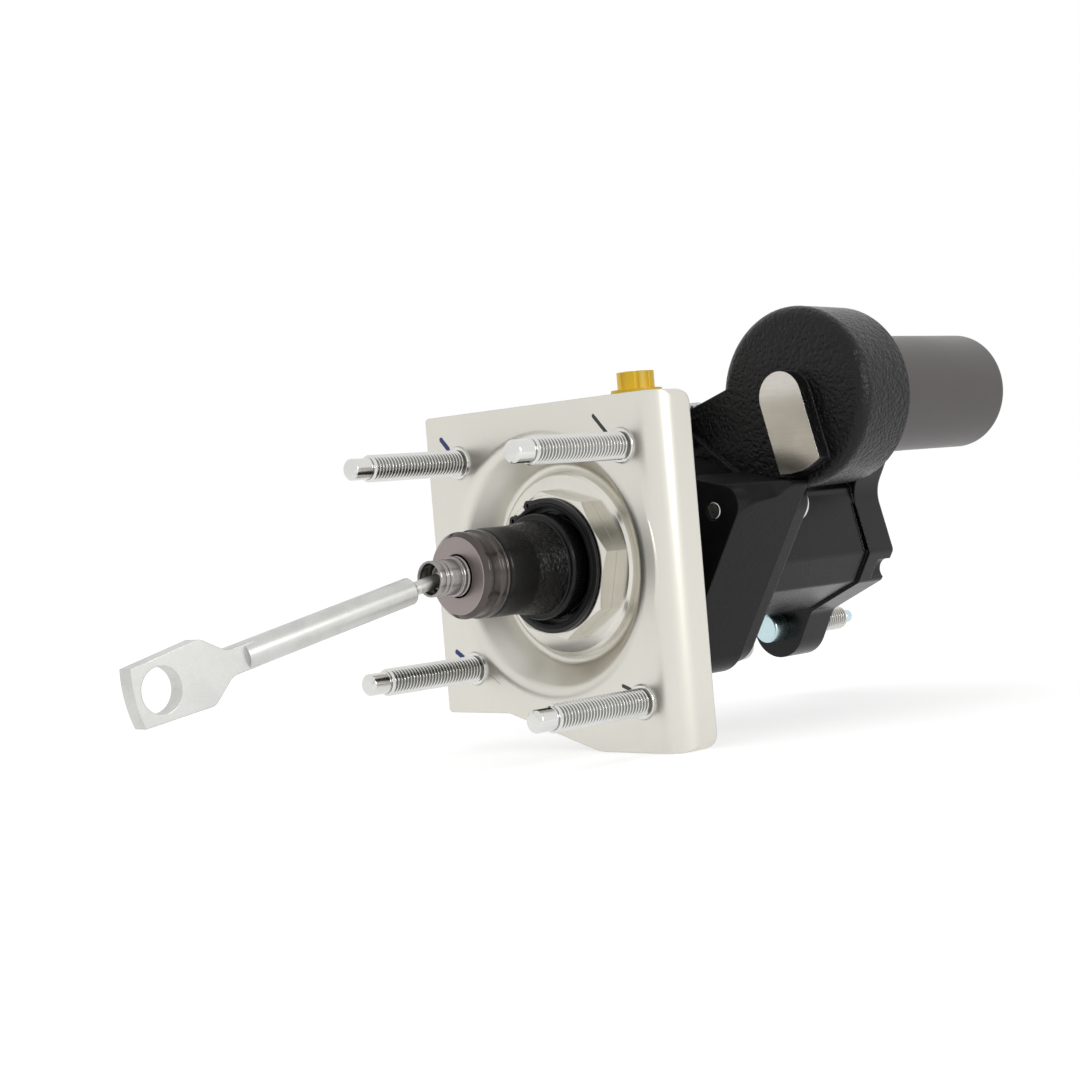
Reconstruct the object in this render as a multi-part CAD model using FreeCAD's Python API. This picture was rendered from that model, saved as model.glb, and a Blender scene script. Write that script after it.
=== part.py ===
import FreeCAD, Part
import os
from math import asin, atan2, cos, degrees, hypot, pi, radians, sin, tan

# Hydraulic brake booster, millimetres
# +Y runs along the main axis from the pedal to the master cylinder, +Z is up
# The origin is where the main axis crosses the front face of the mounting bracket

# Clearances
RUNNING = 0.3
SLIP = 0.15

# Mounting bracket, a bent steel sheet with a dished centre
SHEET = 3.0
BRACKET_HALF_WIDTH = 59.8
BRACKET_TOP = 59.0
BRACKET_BOTTOM_LEFT = -54.3
BRACKET_BOTTOM_RIGHT = -67.5
BRACKET_SLOPE_START = -25.7
BRACKET_SLOPE_END = 20.0
BRACKET_BEND_RADIUS = 9.5
BRACKET_FLANGE_REAR = 18.3
BRACKET_FLANGE_CORNER = 5.5
BRACKET_CORNER = 2.5
DISH_LIP_RADIUS = 46.2
DISH_FLOOR_RADIUS = 36.5
DISH_DEPTH = 12.5
DISH_LIP_BEND = 7.0
DISH_FLOOR_BEND = 2.5
BRACKET_HOLE_RADIUS = 24.0

# Studs pressed into the bracket
BRACKET_STUD_RADIUS = 5.0
BRACKET_STUD_X = 42.5
BRACKET_STUD_TOP = 40.8
BRACKET_STUD_LEFT = -37.4
BRACKET_STUD_RIGHT = -49.4
BRACKET_STUD_TIP = -53.6
BRACKET_STUD_DOG = 9.0
BRACKET_STUD_DOG_RADIUS = 4.0
BRACKET_COLLAR_RADIUS = 6.2
BRACKET_COLLAR_HEIGHT = 1.0
BRACKET_KNURL_RADIUS = 6.3
BRACKET_HEAD_RADIUS = 7.0
BRACKET_HEAD_HEIGHT = 2.4

# Threaded neck of the cover with its washer and nut
NECK_RADIUS = 23.4
NECK_FRONT = 0.6
NECK_GROOVE_RADIUS = 22.4
NECK_RING_RADIUS = 24.8
NECK_RING_FRONT = 1.2
NECK_RING_THICK = 1.2
NECK_RING_GAP = 5.6
NECK_RING_EAR_RADIUS = 1.9
NECK_RING_EAR_REACH = 23.9
NECK_RING_EAR_ANGLE = 12.0
NECK_RING_TURN = 32.0
WASHER_RADIUS = 34.0
WASHER_THICK = 3.1
NUT_FLATS = 51.4
NUT_HEIGHT = 6.6
NUT_CHAMFER = 1.4
NUT_TURN = 8.0

# Rear cover
BARREL_RADIUS = 36.5
SLAB_FRONT = 45.0
PARTING = 80.0
EAR_RIGHT_X = 59.9
EAR_RIGHT_Z = 21.6
EAR_RIGHT_RADIUS = 7.5
EAR_LEFT_X = -52.0
EAR_LEFT_Z = 20.0
EAR_LEFT_RADIUS = 12.0
HORN_RISE = 1.8
HORN_RADIUS = 1.5
HORN_LEAN = 63.0
EAR_SHOULDER_X = 30.0
EAR_SHOULDER_Z = 28.5
COVER_FOOT_X = 17.4
COVER_FOOT_Z = -48.0
COVER_FOOT_RADIUS = 14.0
CHAMBER_FRONT = 52.0

# Cover bolts, in order round the cover
BOLT_RADIUS = 3.45
BOLT_HEAD_RADIUS = 7.0
BOLT_HEAD_HEIGHT = 4.0
BOLT_SOCKET_RADIUS = 2.9
BOLT_SOCKET_DEPTH = 2.5
BOLT_PLACES = [(43.5, 15.0), (11.0, -37.8), (-20.0, -36.0), (-39.5, 14.0)]
LUG_THICK = 9.0
LUG_INSET = 2.5

# Power piston and its bore
STROKE = 26.0
BORE_RADIUS = 20.0
ROD_RADIUS = 13.5
HEAD_SETBACK = 30.0
HEAD_THICK = 11.0
SEAL_GROOVE_WIDTH = 3.0
SEAL_GROOVE_DEPTH = 2.2
END_CUP_RADIUS = 15.4
END_CUP_FACE = -43.7
END_CUP_REAR = -28.8
END_CUP_CHAMFER = 1.8
END_CUP_BAND = -36.0
END_CUP_BAND_RADIUS = 15.8
END_CUP_HOLE_RADIUS = 7.7
END_CUP_HOLE_END = -37.0

# Rod seal and guide bush in the neck
SEAL_POCKET_RADIUS = 17.5
SEAL_LENGTH = 6.0
BUSH_LENGTH = 14.0

# Rubber boot
BOOT_WALL = 1.7
BOOT_NOSE_RADIUS = 16.0
BOOT_ROOT_RADIUS = 17.3
BOOT_STEP_RADIUS = 19.5
BOOT_FLANGE_RADIUS = 21.2
BOOT_FLANGE_THICK = 3.0
BOOT_LIP_LENGTH = 3.4
BOOT_GROOVE_RADIUS = 14.1
NECK_BORE_RADIUS = 21.5
RETAINER_WIRE = 1.2
RETAINER_FRONT = 4.5

# Input plunger with the rolled socket tube at its end
PLUNGER_TRAVEL = 3.0
PLUNGER_RADIUS = 4.6
TUBE_RIM = -56.8
TUBE_RADIUS = 6.4
TUBE_BORE_RADIUS = 5.3
TUBE_RING_RADIUS = 7.2
TUBE_RING_FRONT = -46.5
TUBE_RING_REAR = -42.6

# Pedal push rod, at rest hanging on its lower stop
PIVOT_Y = -50.0
BALL_RADIUS = 4.0
GROMMET_WALL = 0.7
GROMMET_MOUTH = 1.5
ROD_REST_PITCH = 11.4
PUSH_ROD_RADIUS = 4.8
PUSH_ROD_NECK_RADIUS = 2.4
PUSH_ROD_SHOULDER = 15.3
PUSH_ROD_SHOULDER_END = 16.8
EYE_CENTRE = 123.6
EYE_HOLE_RADIUS = 7.45
EYE_THICK = 6.0
EYE_HALF_WIDTH = 9.6
EYE_SHOULDER_HALF_WIDTH = 11.0
EYE_SHOULDER = 108.5
EYE_NECK = 97.0
EYE_NECK_HALF_WIDTH = 4.2
EYE_FLAT_END = 90.0
EYE_END = 133.6
EYE_BULGE = 1.1

# Spool valve, above the piston and leaning to the left
SPOOL_OFFSET = 38.5
SPOOL_LEAN = 12.0
SPOOL_BORE_RADIUS = 8.0
SPOOL_BORE_SETBACK = 4.0
SPOOL_BORE_LENGTH = 56.0
SLEEVE_SETBACK = 23.0
SLEEVE_LENGTH = 28.0
SLEEVE_GROOVE_PITCH = 8.0
SPOOL_RADIUS = 4.7
SPOOL_SETBACK = 7.0
SPOOL_WAIST_RADIUS = 2.5
SPOOL_LAND_GAP = 1.5
SPOOL_SPRING_LENGTH = 8.0
SPOOL_BLOCK_RADIUS = 15.0
SPOOL_PLUG_SOCKET_RADIUS = 4.0
SPOOL_PLUG_SOCKET_DEPTH = 4.0

# Valve lever
LEVER_SETBACK = 3.0
LEVER_FORK_DEPTH = 9.0
LEVER_ARM = 29.5
LEVER_PIVOT_HEIGHT = 10.0
LEVER_WIDTH = 9.2
LEVER_THICK = 5.0
LEVER_FOOT_RADIUS = 4.0
LEVER_TIP_RADIUS = 2.2
LEVER_FORK_GAP = 6.4
LEVER_PIN_RADIUS = 2.0
LEVER_PIN_LENGTH = 17.0

# Main housing
HOUSING_RADIUS = 30.0
HOUSING_LEFT_SIDE = -27.0
HOUSING_LEFT_TOP = 16.0
HOUSING_LEFT_BOTTOM = -17.0
HOUSING_SHOULDER_X = 23.4
HOUSING_SHOULDER_Z = 17.0
HOUSING_CORNER_X = 29.2
HOUSING_CORNER_Z = -7.5
HOUSING_HEEL_X = 22.4
HOUSING_HEEL_Z = -19.4
UNDERSIDE_SLOPE = 0.44
FLANGE_SETBACK = 74.5
FLANGE_THICK = 15.8
FLANGE_CORNER_X = 30.6
FLANGE_CORNER_Z = -8.0
FLANGE_HEEL_X = 23.4
FLANGE_HEEL_Z = -20.2
LOBE_RADIUS = 13.0
LOBE_X = 20.5
LOBE_Z = 37.5
LOBE_NECK = 16.3
LOBE_NECK_RADIUS = 14.0
LOBE_THROAT = 13.8
LOBE_THROAT_RADIUS = 5.0
CREASE_WIDTH = 2.4
CREASE_DEPTH = 1.4
CREASE_TOP = 12.5
CREASE_BOTTOM = -7.0
SCALLOP_RADIUS = 4.5
SCALLOP_DEPTH = 8.0
SCALLOP_X = 27.5
SCALLOP_Z = -15.8
WEB_THICK = 30.0
WEB_LEFT = -22.0
WEB_TOP_LEFT = 53.0
WEB_EDGE_X = 7.0
WEB_EDGE_Z = 55.0
WEB_BOTTOM = 24.8
WEB_GROOVE_WIDTH = 3.0
WEB_GROOVE_DEPTH = 1.2
WEB_GROOVE_START_X = 6.0
WEB_GROOVE_START_Z = 46.5
WEB_GROOVE_END_X = 30.5
WEB_GROOVE_END_Z = 27.0

# Accumulator and the boss that carries it
BOSS_X = 55.2
BOSS_Z = 54.5
BOSS_FACE_RADIUS = 29.0
BOSS_RADIUS = 34.0
BOSS_REAR_RADIUS = 33.4
BOSS_EDGE = 4.5
BOSS_LENGTH = 30.0
PAD_RADIUS = 9.8
PAD_HEIGHT = 6.0
PAD_LEG_END = 28.5
PAD_LEAN = 14.5
CAN_RADIUS = 22.6
CAN_SETBACK = 18.0
CAN_LENGTH = 91.5
CAN_EDGE = 2.5
CAN_RING_SETBACK = 25.5

# Studs for the master cylinder
CYLINDER_STUD_RADIUS = 5.0
CYLINDER_STUD_KNURL_RADIUS = 5.3
CYLINDER_STUD_HEAD_RADIUS = 6.0
CYLINDER_STUD_HEAD_HEIGHT = 8.7
CYLINDER_STUD_LENGTH = 27.2
CYLINDER_STUD_DOG = 5.5
CYLINDER_STUD_DOG_RADIUS = 2.7

# Ports on the spool block
PORT_X = -8.0
PORT_LEAD = 15.0
PORT_TOP = 62.5
PORT_BOSS_RADIUS = 11.5
PORT_ARM_TOP = 51.0
PORT_ARM_BOTTOM = 39.0
PORT_HOLE_RADIUS = 7.0
PORT_HOLE_DEPTH = 14.0
SIDE_BOSS_RADIUS = 10.5
SIDE_PORT_SETBACK = 32.0
SIDE_PORT_FACE = -36.0
PLUG_FLANGE_RADIUS = 10.0
PLUG_FLANGE_THICK = 1.6
PLUG_HEAD_RADIUS = 7.3
PLUG_HEAD_HEIGHT = 8.4
PLUG_FLUTES = 8
PLUG_SHANK = 9.0
NIPPLE_SETBACK = 28.0
NIPPLE_Z = -4.0
NIPPLE_BOSS_RADIUS = 8.0
NIPPLE_BOSS_FACE = -32.0
NIPPLE_SEAT = 7.0
NIPPLE_RADIUS = 4.8
NIPPLE_BORE_RADIUS = 3.4
NIPPLE_END = -50.0
PASSAGE_PLUG_SETBACK = 18.5
PASSAGE_PLUG_RADIUS = 3.4
PASSAGE_PLUG_TOP = 58.0
PASSAGE_PLUG_DEPTH = 10.4

# Output side
OUTPUT_ROD_RADIUS = 6.0
OUTPUT_ROD_REACH = 5.7
OUTPUT_ROD_SOCKET = 8.0
SPRING_SEAT_DEPTH = 9.3
SPRING_SEAT_THICK = 2.5
SEAT_RING_THICK = 1.4
RETURN_SPRING_WIRE = 1.0
RETURN_SPRING_RADIUS = 13.0
RETURN_SPRING_TURNS = 5

# Worked-out sizes
BRACKET_BACK = SHEET
DISH_SEAT = DISH_DEPTH + SHEET
NUT_FRONT = DISH_DEPTH - WASHER_THICK - NUT_HEIGHT
WASHER_FRONT = DISH_DEPTH - WASHER_THICK
LEAN = radians(SPOOL_LEAN)
SPOOL_X = -SPOOL_OFFSET * sin(LEAN)
SPOOL_Z = SPOOL_OFFSET * cos(LEAN)
LEVER_SWING = asin(STROKE / 2 / LEVER_ARM)
LEVER_Y = PARTING + LEVER_SETBACK
LEVER_TIP_Y = LEVER_Y + STROKE / 2
HEAD_REAR = PARTING + HEAD_SETBACK
HEAD_FRONT = HEAD_REAR + HEAD_THICK
SPOOL_REAR = PARTING + SPOOL_SETBACK
SPOOL_BORE_REAR = PARTING + SPOOL_BORE_SETBACK
SPOOL_BORE_FRONT = SPOOL_BORE_REAR + SPOOL_BORE_LENGTH
SLEEVE_REAR = PARTING + SLEEVE_SETBACK
SLEEVE_FRONT = SLEEVE_REAR + SLEEVE_LENGTH
FLANGE_FRONT = PARTING + FLANGE_SETBACK
FLANGE_REAR = FLANGE_FRONT + FLANGE_THICK
SPRING_SEAT_Y = FLANGE_REAR - SPRING_SEAT_DEPTH
OUTPUT_ROD_TIP = FLANGE_REAR + OUTPUT_ROD_REACH
BOSS_REAR = PARTING + BOSS_LENGTH
CAN_SEAT = PARTING + CAN_SETBACK
CAN_END = CAN_SEAT + CAN_LENGTH
CAN_RING_Y = PARTING + CAN_RING_SETBACK
CYLINDER_STUD_HEAD = FLANGE_FRONT - CYLINDER_STUD_HEAD_HEIGHT
CYLINDER_STUD_THREAD_END = FLANGE_REAR + CYLINDER_STUD_LENGTH
CYLINDER_STUD_TIP = CYLINDER_STUD_THREAD_END + CYLINDER_STUD_DOG
PORT_Y = PARTING - PORT_LEAD
SIDE_PORT_Y = PARTING + SIDE_PORT_SETBACK
NIPPLE_Y = PARTING + NIPPLE_SETBACK
PASSAGE_PLUG_Y = PARTING + PASSAGE_PLUG_SETBACK


def vec(x, y, z):
    return FreeCAD.Vector(x, y, z)


def rod_y(radius, start, end, x=0.0, z=0.0):
    """Cylinder along the main axis between two stations."""
    return Part.makeCylinder(radius, end - start, vec(x, start, z), vec(0, 1, 0))


def ring_y(outer, inner, start, end, x=0.0, z=0.0):
    """Flat ring or tube along the main axis."""
    return rod_y(outer, start, end, x, z).cut(rod_y(inner, start, end, x, z))


def turned(profile, x=0.0, z=0.0):
    """Solid of revolution about a line along Y, from (station, radius) points."""
    points = [vec(x + radius, station, z) for station, radius in profile]
    points.append(points[0])
    face = Part.Face(Part.makePolygon(points))
    return face.revolve(vec(x, 0, z), vec(0, 1, 0), 360)


def box(x0, x1, y0, y1, z0, z1):
    return Part.makeBox(x1 - x0, y1 - y0, z1 - z0, vec(x0, y0, z0))


def rounded_wire(corners):
    """Closed outline through (point, radius) corners, each rounded by an arc."""
    stops = []
    for index, (point, radius) in enumerate(corners):
        before = corners[index - 1][0] - point
        after = corners[(index + 1) % len(corners)][0] - point
        before.normalize()
        after.normalize()
        if radius == 0:
            stops.append((point, None, point))
            continue
        half = before.getAngle(after) / 2
        middle = before + after
        middle.normalize()
        centre = point + middle * (radius / sin(half))
        reach = radius / tan(half)
        stops.append((point + before * reach, centre - middle * radius, point + after * reach))
    edges = []
    for index, (start, middle, end) in enumerate(stops):
        if middle is not None:
            edges.append(Part.Arc(start, middle, end).toShape())
        following = stops[(index + 1) % len(stops)][0]
        if end.distanceToPoint(following) > 1e-6:
            edges.append(Part.makeLine(end, following))
    return Part.Wire(edges)


def prism_y(corners, start, end):
    """Prism along Y from (x, z, corner radius) points."""
    wire = rounded_wire([(vec(x, start, z), radius) for x, z, radius in corners])
    return Part.Face(wire).extrude(vec(0, end - start, 0))


def prism_x(corners, start, end):
    """Prism along X from (y, z, corner radius) points."""
    wire = rounded_wire([(vec(start, y, z), radius) for y, z, radius in corners])
    return Part.Face(wire).extrude(vec(end - start, 0, 0))


def prism_z(corners, start, end):
    """Prism along Z from (x, y, corner radius) points."""
    wire = rounded_wire([(vec(x, y, start), radius) for x, y, radius in corners])
    return Part.Face(wire).extrude(vec(0, 0, end - start))


def fuse_all(shapes):
    first, *rest = shapes
    return first.multiFuse(rest).removeSplitter() if rest else first


def leaned(shape):
    """Swing a shape built above the axis over to the spool valve's side."""
    turned_shape = shape.copy()
    turned_shape.rotate(vec(0, 0, 0), vec(0, 1, 0), -SPOOL_LEAN)
    return turned_shape


def coil_y(wire_radius, mean_radius, turns, start, end, x=0.0, z=0.0):
    """Compression spring along the main axis, its wire a chain of flat-sided pieces."""
    sides = 6
    steps = 12 * turns
    rise = (end - start - 2 * wire_radius) / steps
    rings = []
    for step in range(steps + 1):
        angle = 2 * pi * step / 12
        outward = vec(cos(angle), 0, sin(angle))
        centre = vec(x, start + wire_radius + rise * step, z) + outward * mean_radius
        ring = []
        for side in range(sides):
            turn = 2 * pi * side / sides
            ring.append(centre + outward * (wire_radius * cos(turn)) + vec(0, wire_radius * sin(turn), 0))
        rings.append(ring)
    faces = [Part.Face(Part.makePolygon(ring + ring[:1])) for ring in (rings[0], rings[-1])]
    for near, far in zip(rings, rings[1:]):
        for side in range(sides):
            following = (side + 1) % sides
            for corners in ((near[side], near[following], far[side]), (far[side], near[following], far[following])):
                faces.append(Part.Face(Part.makePolygon(list(corners) + [corners[0]])))
    return Part.Solid(Part.Shell(faces))


# Bracket


def bracket_outline():
    left = -BRACKET_HALF_WIDTH
    right = BRACKET_HALF_WIDTH
    return [
        (left, BRACKET_TOP, BRACKET_CORNER),
        (right, BRACKET_TOP, BRACKET_CORNER),
        (right, BRACKET_BOTTOM_RIGHT, BRACKET_CORNER),
        (BRACKET_SLOPE_END, BRACKET_BOTTOM_RIGHT, 15.0),
        (BRACKET_SLOPE_START, BRACKET_BOTTOM_LEFT, 8.0),
        (left, BRACKET_BOTTOM_LEFT, BRACKET_CORNER),
    ]


def bent_sheet():
    """Front plate with its right side bent back, before its outline is trimmed."""
    left = -BRACKET_HALF_WIDTH
    right = BRACKET_HALF_WIDTH
    rear = BRACKET_FLANGE_REAR
    inner_bend = BRACKET_BEND_RADIUS - SHEET
    section = [
        (left, 0, 0.6),
        (right, 0, BRACKET_BEND_RADIUS),
        (right, rear, 0),
        (right - SHEET, rear, 0),
        (right - SHEET, SHEET, inner_bend),
        (left, SHEET, 0.6),
    ]
    return prism_z(section, BRACKET_BOTTOM_RIGHT, BRACKET_TOP)


def flange_side():
    """Side view of the bent flange, with its two rear corners rounded."""
    corner = BRACKET_FLANGE_CORNER
    rear = BRACKET_FLANGE_REAR
    bottom = BRACKET_BOTTOM_RIGHT
    outline = [(-1, bottom, 0), (rear, bottom, corner), (rear, BRACKET_TOP, corner), (-1, BRACKET_TOP, 0)]
    return prism_x(outline, -BRACKET_HALF_WIDTH - 1, BRACKET_HALF_WIDTH + 1)


def dish():
    """Sheet metal dish from its convex lip down to the floor that the nut clamps."""
    slope = atan2(DISH_DEPTH, DISH_LIP_RADIUS - DISH_FLOOR_RADIUS)
    shift = SHEET * tan(slope / 2)
    edge = DISH_LIP_RADIUS + DISH_LIP_BEND + 1.0
    corners = [
        (edge, 0, 0),
        (DISH_LIP_RADIUS, 0, DISH_LIP_BEND),
        (DISH_FLOOR_RADIUS, DISH_DEPTH, DISH_FLOOR_BEND),
        (BRACKET_HOLE_RADIUS, DISH_DEPTH, 0),
        (BRACKET_HOLE_RADIUS, DISH_SEAT, 0),
        (DISH_FLOOR_RADIUS + shift, DISH_SEAT, DISH_FLOOR_BEND + SHEET),
        (DISH_LIP_RADIUS + shift, SHEET, DISH_LIP_BEND - SHEET),
        (edge, SHEET, 0),
    ]
    wire = rounded_wire([(vec(radius, station, 0), bend) for radius, station, bend in corners])
    return Part.Face(wire).revolve(vec(0, 0, 0), vec(0, 1, 0), 360), edge


def bracket_stud_places():
    x = BRACKET_STUD_X
    top = BRACKET_STUD_TOP
    return [(-x, top), (x, top), (-x, BRACKET_STUD_LEFT), (x, BRACKET_STUD_RIGHT)]


def mounting_bracket():
    plate = bent_sheet().common(prism_y(bracket_outline(), -1, BRACKET_FLANGE_REAR + 1))
    plate = plate.common(flange_side())
    bowl, edge = dish()
    plate = fuse_all([plate.cut(rod_y(edge, -1, BRACKET_BACK + 1)), bowl])
    for x, z in bracket_stud_places():
        plate = plate.cut(rod_y(BRACKET_KNURL_RADIUS, -1, BRACKET_BACK + 1, x, z))
    return plate


def bracket_stud(x, z):
    """Pressed stud: head behind the sheet, collar in front and a plain guide tip."""
    shoulder = BRACKET_STUD_TIP + BRACKET_STUD_DOG
    profile = [
        (BRACKET_STUD_TIP, 0),
        (BRACKET_STUD_TIP, BRACKET_STUD_DOG_RADIUS - 1.0),
        (BRACKET_STUD_TIP + 1.0, BRACKET_STUD_DOG_RADIUS),
        (shoulder - 1.0, BRACKET_STUD_DOG_RADIUS),
        (shoulder, BRACKET_STUD_RADIUS),
        (-BRACKET_COLLAR_HEIGHT, BRACKET_STUD_RADIUS),
        (-BRACKET_COLLAR_HEIGHT, BRACKET_COLLAR_RADIUS),
        (0, BRACKET_COLLAR_RADIUS),
        (0, BRACKET_KNURL_RADIUS),
        (BRACKET_BACK, BRACKET_KNURL_RADIUS),
        (BRACKET_BACK, BRACKET_HEAD_RADIUS),
        (BRACKET_BACK + BRACKET_HEAD_HEIGHT, BRACKET_HEAD_RADIUS),
        (BRACKET_BACK + BRACKET_HEAD_HEIGHT, 0),
    ]
    return turned(profile, x, z)


def bracket_studs():
    return Part.makeCompound([bracket_stud(x, z) for x, z in bracket_stud_places()])


def spacer_washer():
    profile = [
        (WASHER_FRONT, NECK_RADIUS),
        (WASHER_FRONT, WASHER_RADIUS - 1.2),
        (WASHER_FRONT + 0.8, WASHER_RADIUS),
        (DISH_DEPTH, WASHER_RADIUS),
        (DISH_DEPTH, NECK_RADIUS),
    ]
    return turned(profile)


def neck_nut():
    corner = NUT_FLATS / 2 / cos(pi / 8)
    angles = [radians(NUT_TURN + 45 * step) for step in range(8)]
    outline = [(corner * cos(angle), corner * sin(angle), 0) for angle in angles]
    blank = turned([
        (NUT_FRONT, NECK_RADIUS),
        (NUT_FRONT, NUT_FLATS / 2),
        (NUT_FRONT + NUT_CHAMFER, corner + 0.2),
        (WASHER_FRONT, corner + 0.2),
        (WASHER_FRONT, NECK_RADIUS),
    ])
    return prism_y(outline, NUT_FRONT, WASHER_FRONT).common(blank)


# Rear cover


def cover_outline(inset=0.0):
    """Outline of the cover slab, seen from the pedal side."""
    return [
        (EAR_RIGHT_X - inset, EAR_RIGHT_Z, EAR_RIGHT_RADIUS),
        (COVER_FOOT_X - inset / 2, COVER_FOOT_Z + inset, COVER_FOOT_RADIUS),
        (-COVER_FOOT_X + inset / 2, COVER_FOOT_Z + inset, COVER_FOOT_RADIUS),
        (EAR_LEFT_X + inset, EAR_LEFT_Z, EAR_LEFT_RADIUS),
        (-EAR_SHOULDER_X, EAR_SHOULDER_Z - inset, 5.0),
        (EAR_SHOULDER_X, EAR_SHOULDER_Z - inset, 5.0),
    ]


def cover_horn():
    """Pointed tip of the right ear, which sweeps up towards the parting face."""
    slope = (EAR_RIGHT_X - COVER_FOOT_X) / (EAR_RIGHT_Z - COVER_FOOT_Z)
    tip_x = EAR_RIGHT_X + HORN_RISE * slope
    tip_z = EAR_RIGHT_Z + HORN_RISE
    wedge = prism_y([
        (tip_x, tip_z, HORN_RADIUS),
        (tip_x - 13.5 * slope, tip_z - 13.5, 0),
        (tip_x - 14.0, tip_z - 12.0, 0),
        (tip_x - 15.0, tip_z + 1.2, 0),
    ], SLAB_FRONT + 1, PARTING)
    sweep = prism_x([
        (PARTING - 36, 12, 0),
        (PARTING - 36, -10.6, 0),
        (PARTING - 28, -7.0, 15),
        (PARTING - 15, -5.2, 6),
        (PARTING - 9, -1.6, 6),
        (PARTING + 2, -0.2, 0),
        (PARTING + 2, 12, 0),
    ], -30, 30)
    sweep.rotate(vec(0, 0, 0), vec(0, 1, 0), HORN_LEAN)
    sweep.translate(vec(tip_x, 0, tip_z))
    return wedge.cut(sweep)


def rear_cover():
    slab = prism_y(cover_outline(), SLAB_FRONT, PARTING)
    flange_end = RETAINER_FRONT + RETAINER_WIRE + BOOT_FLANGE_THICK
    bush_front = flange_end + SEAL_LENGTH
    body = turned([
        (NECK_FRONT, 0),
        (NECK_FRONT, NECK_RADIUS - 0.8),
        (NECK_FRONT + 0.8, NECK_RADIUS),
        (DISH_SEAT, NECK_RADIUS),
        (DISH_SEAT, BARREL_RADIUS - 1.0),
        (DISH_SEAT + 1.0, BARREL_RADIUS),
        (PARTING, BARREL_RADIUS),
        (PARTING, 0),
    ])
    bore = turned([
        (NECK_FRONT - 1, 0),
        (NECK_FRONT - 1, NECK_BORE_RADIUS),
        (flange_end, NECK_BORE_RADIUS),
        (flange_end, SEAL_POCKET_RADIUS),
        (bush_front + BUSH_LENGTH, SEAL_POCKET_RADIUS),
        (bush_front + BUSH_LENGTH, ROD_RADIUS + 1.0),
        (CHAMBER_FRONT, ROD_RADIUS + 1.0),
        (CHAMBER_FRONT + 3.0, BORE_RADIUS),
        (PARTING + 1, BORE_RADIUS),
        (PARTING + 1, 0),
    ])
    cover = fuse_all([slab, cover_horn(), body]).cut(bore)
    groove = ring_y(BORE_RADIUS + 7.0, BORE_RADIUS + 4.0, PARTING - 2.0, PARTING + 1)
    clip_groove = ring_y(NECK_BORE_RADIUS + 0.9, NECK_BORE_RADIUS - 1, RETAINER_FRONT, RETAINER_FRONT + RETAINER_WIRE)
    ring_end = NECK_RING_FRONT + NECK_RING_THICK
    ring_groove = ring_y(NECK_RADIUS + 1, NECK_GROOVE_RADIUS, NECK_RING_FRONT, ring_end)
    cover = cover.cut(groove).cut(clip_groove).cut(ring_groove)
    for x, z in BOLT_PLACES:
        cover = cover.cut(rod_y(BOLT_RADIUS, SLAB_FRONT - 1, PARTING + 1, x, z))
    return cover


def cover_gasket():
    return ring_y(BORE_RADIUS + 7.0, BORE_RADIUS + 4.0, PARTING - 2.0, PARTING)


def cover_bolt(x, z):
    """Screw put in from the housing side, its tip level with the cover's front face."""
    head = PARTING + LUG_THICK
    profile = [
        (SLAB_FRONT, 0),
        (SLAB_FRONT, BOLT_RADIUS - 0.5),
        (SLAB_FRONT + 0.5, BOLT_RADIUS),
        (head, BOLT_RADIUS),
        (head, BOLT_HEAD_RADIUS),
        (head + BOLT_HEAD_HEIGHT - 0.8, BOLT_HEAD_RADIUS),
        (head + BOLT_HEAD_HEIGHT, BOLT_HEAD_RADIUS - 0.8),
        (head + BOLT_HEAD_HEIGHT, 0),
    ]
    socket = []
    for step in range(6):
        angle = radians(60 * step)
        socket.append((x + BOLT_SOCKET_RADIUS * cos(angle), z + BOLT_SOCKET_RADIUS * sin(angle), 0))
    screw = turned(profile, x, z)
    return screw.cut(prism_y(socket, head + BOLT_HEAD_HEIGHT - BOLT_SOCKET_DEPTH, head + BOLT_HEAD_HEIGHT + 1))


def cover_bolts():
    return Part.makeCompound([cover_bolt(x, z) for x, z in BOLT_PLACES])


def rod_seal():
    start = RETAINER_FRONT + RETAINER_WIRE + BOOT_FLANGE_THICK
    inner = ROD_RADIUS + RUNNING
    return turned([
        (start, inner + 1.2),
        (start, SEAL_POCKET_RADIUS),
        (start + SEAL_LENGTH, SEAL_POCKET_RADIUS),
        (start + SEAL_LENGTH, inner),
        (start + SEAL_LENGTH - 2.5, inner),
        (start + 2.5, inner + 1.8),
    ])


def rod_bush():
    start = RETAINER_FRONT + RETAINER_WIRE + BOOT_FLANGE_THICK + SEAL_LENGTH
    return ring_y(SEAL_POCKET_RADIUS, ROD_RADIUS + RUNNING, start, start + BUSH_LENGTH)


def boot_retainer():
    """Internal snap ring with two drilled ears at its gap."""
    end = RETAINER_FRONT + RETAINER_WIRE
    outer = NECK_BORE_RADIUS + 0.8
    inner = NECK_BORE_RADIUS - 1.6
    ring = ring_y(outer, inner, RETAINER_FRONT, end)
    gap = box(-1.8, 1.8, RETAINER_FRONT - 1, end + 1, -outer - 1, -inner + 2)
    ring = ring.cut(gap)
    ears = []
    for side in (-1, 1):
        x = side * 3.6
        z = -inner + 0.6
        ear = rod_y(1.8, RETAINER_FRONT, end, x, z).cut(rod_y(0.8, RETAINER_FRONT - 1, end + 1, x, z))
        ears.append(ear)
    clip = fuse_all([ring] + ears)
    clip.rotate(vec(0, 0, 0), vec(0, 1, 0), 35)
    return clip


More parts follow.
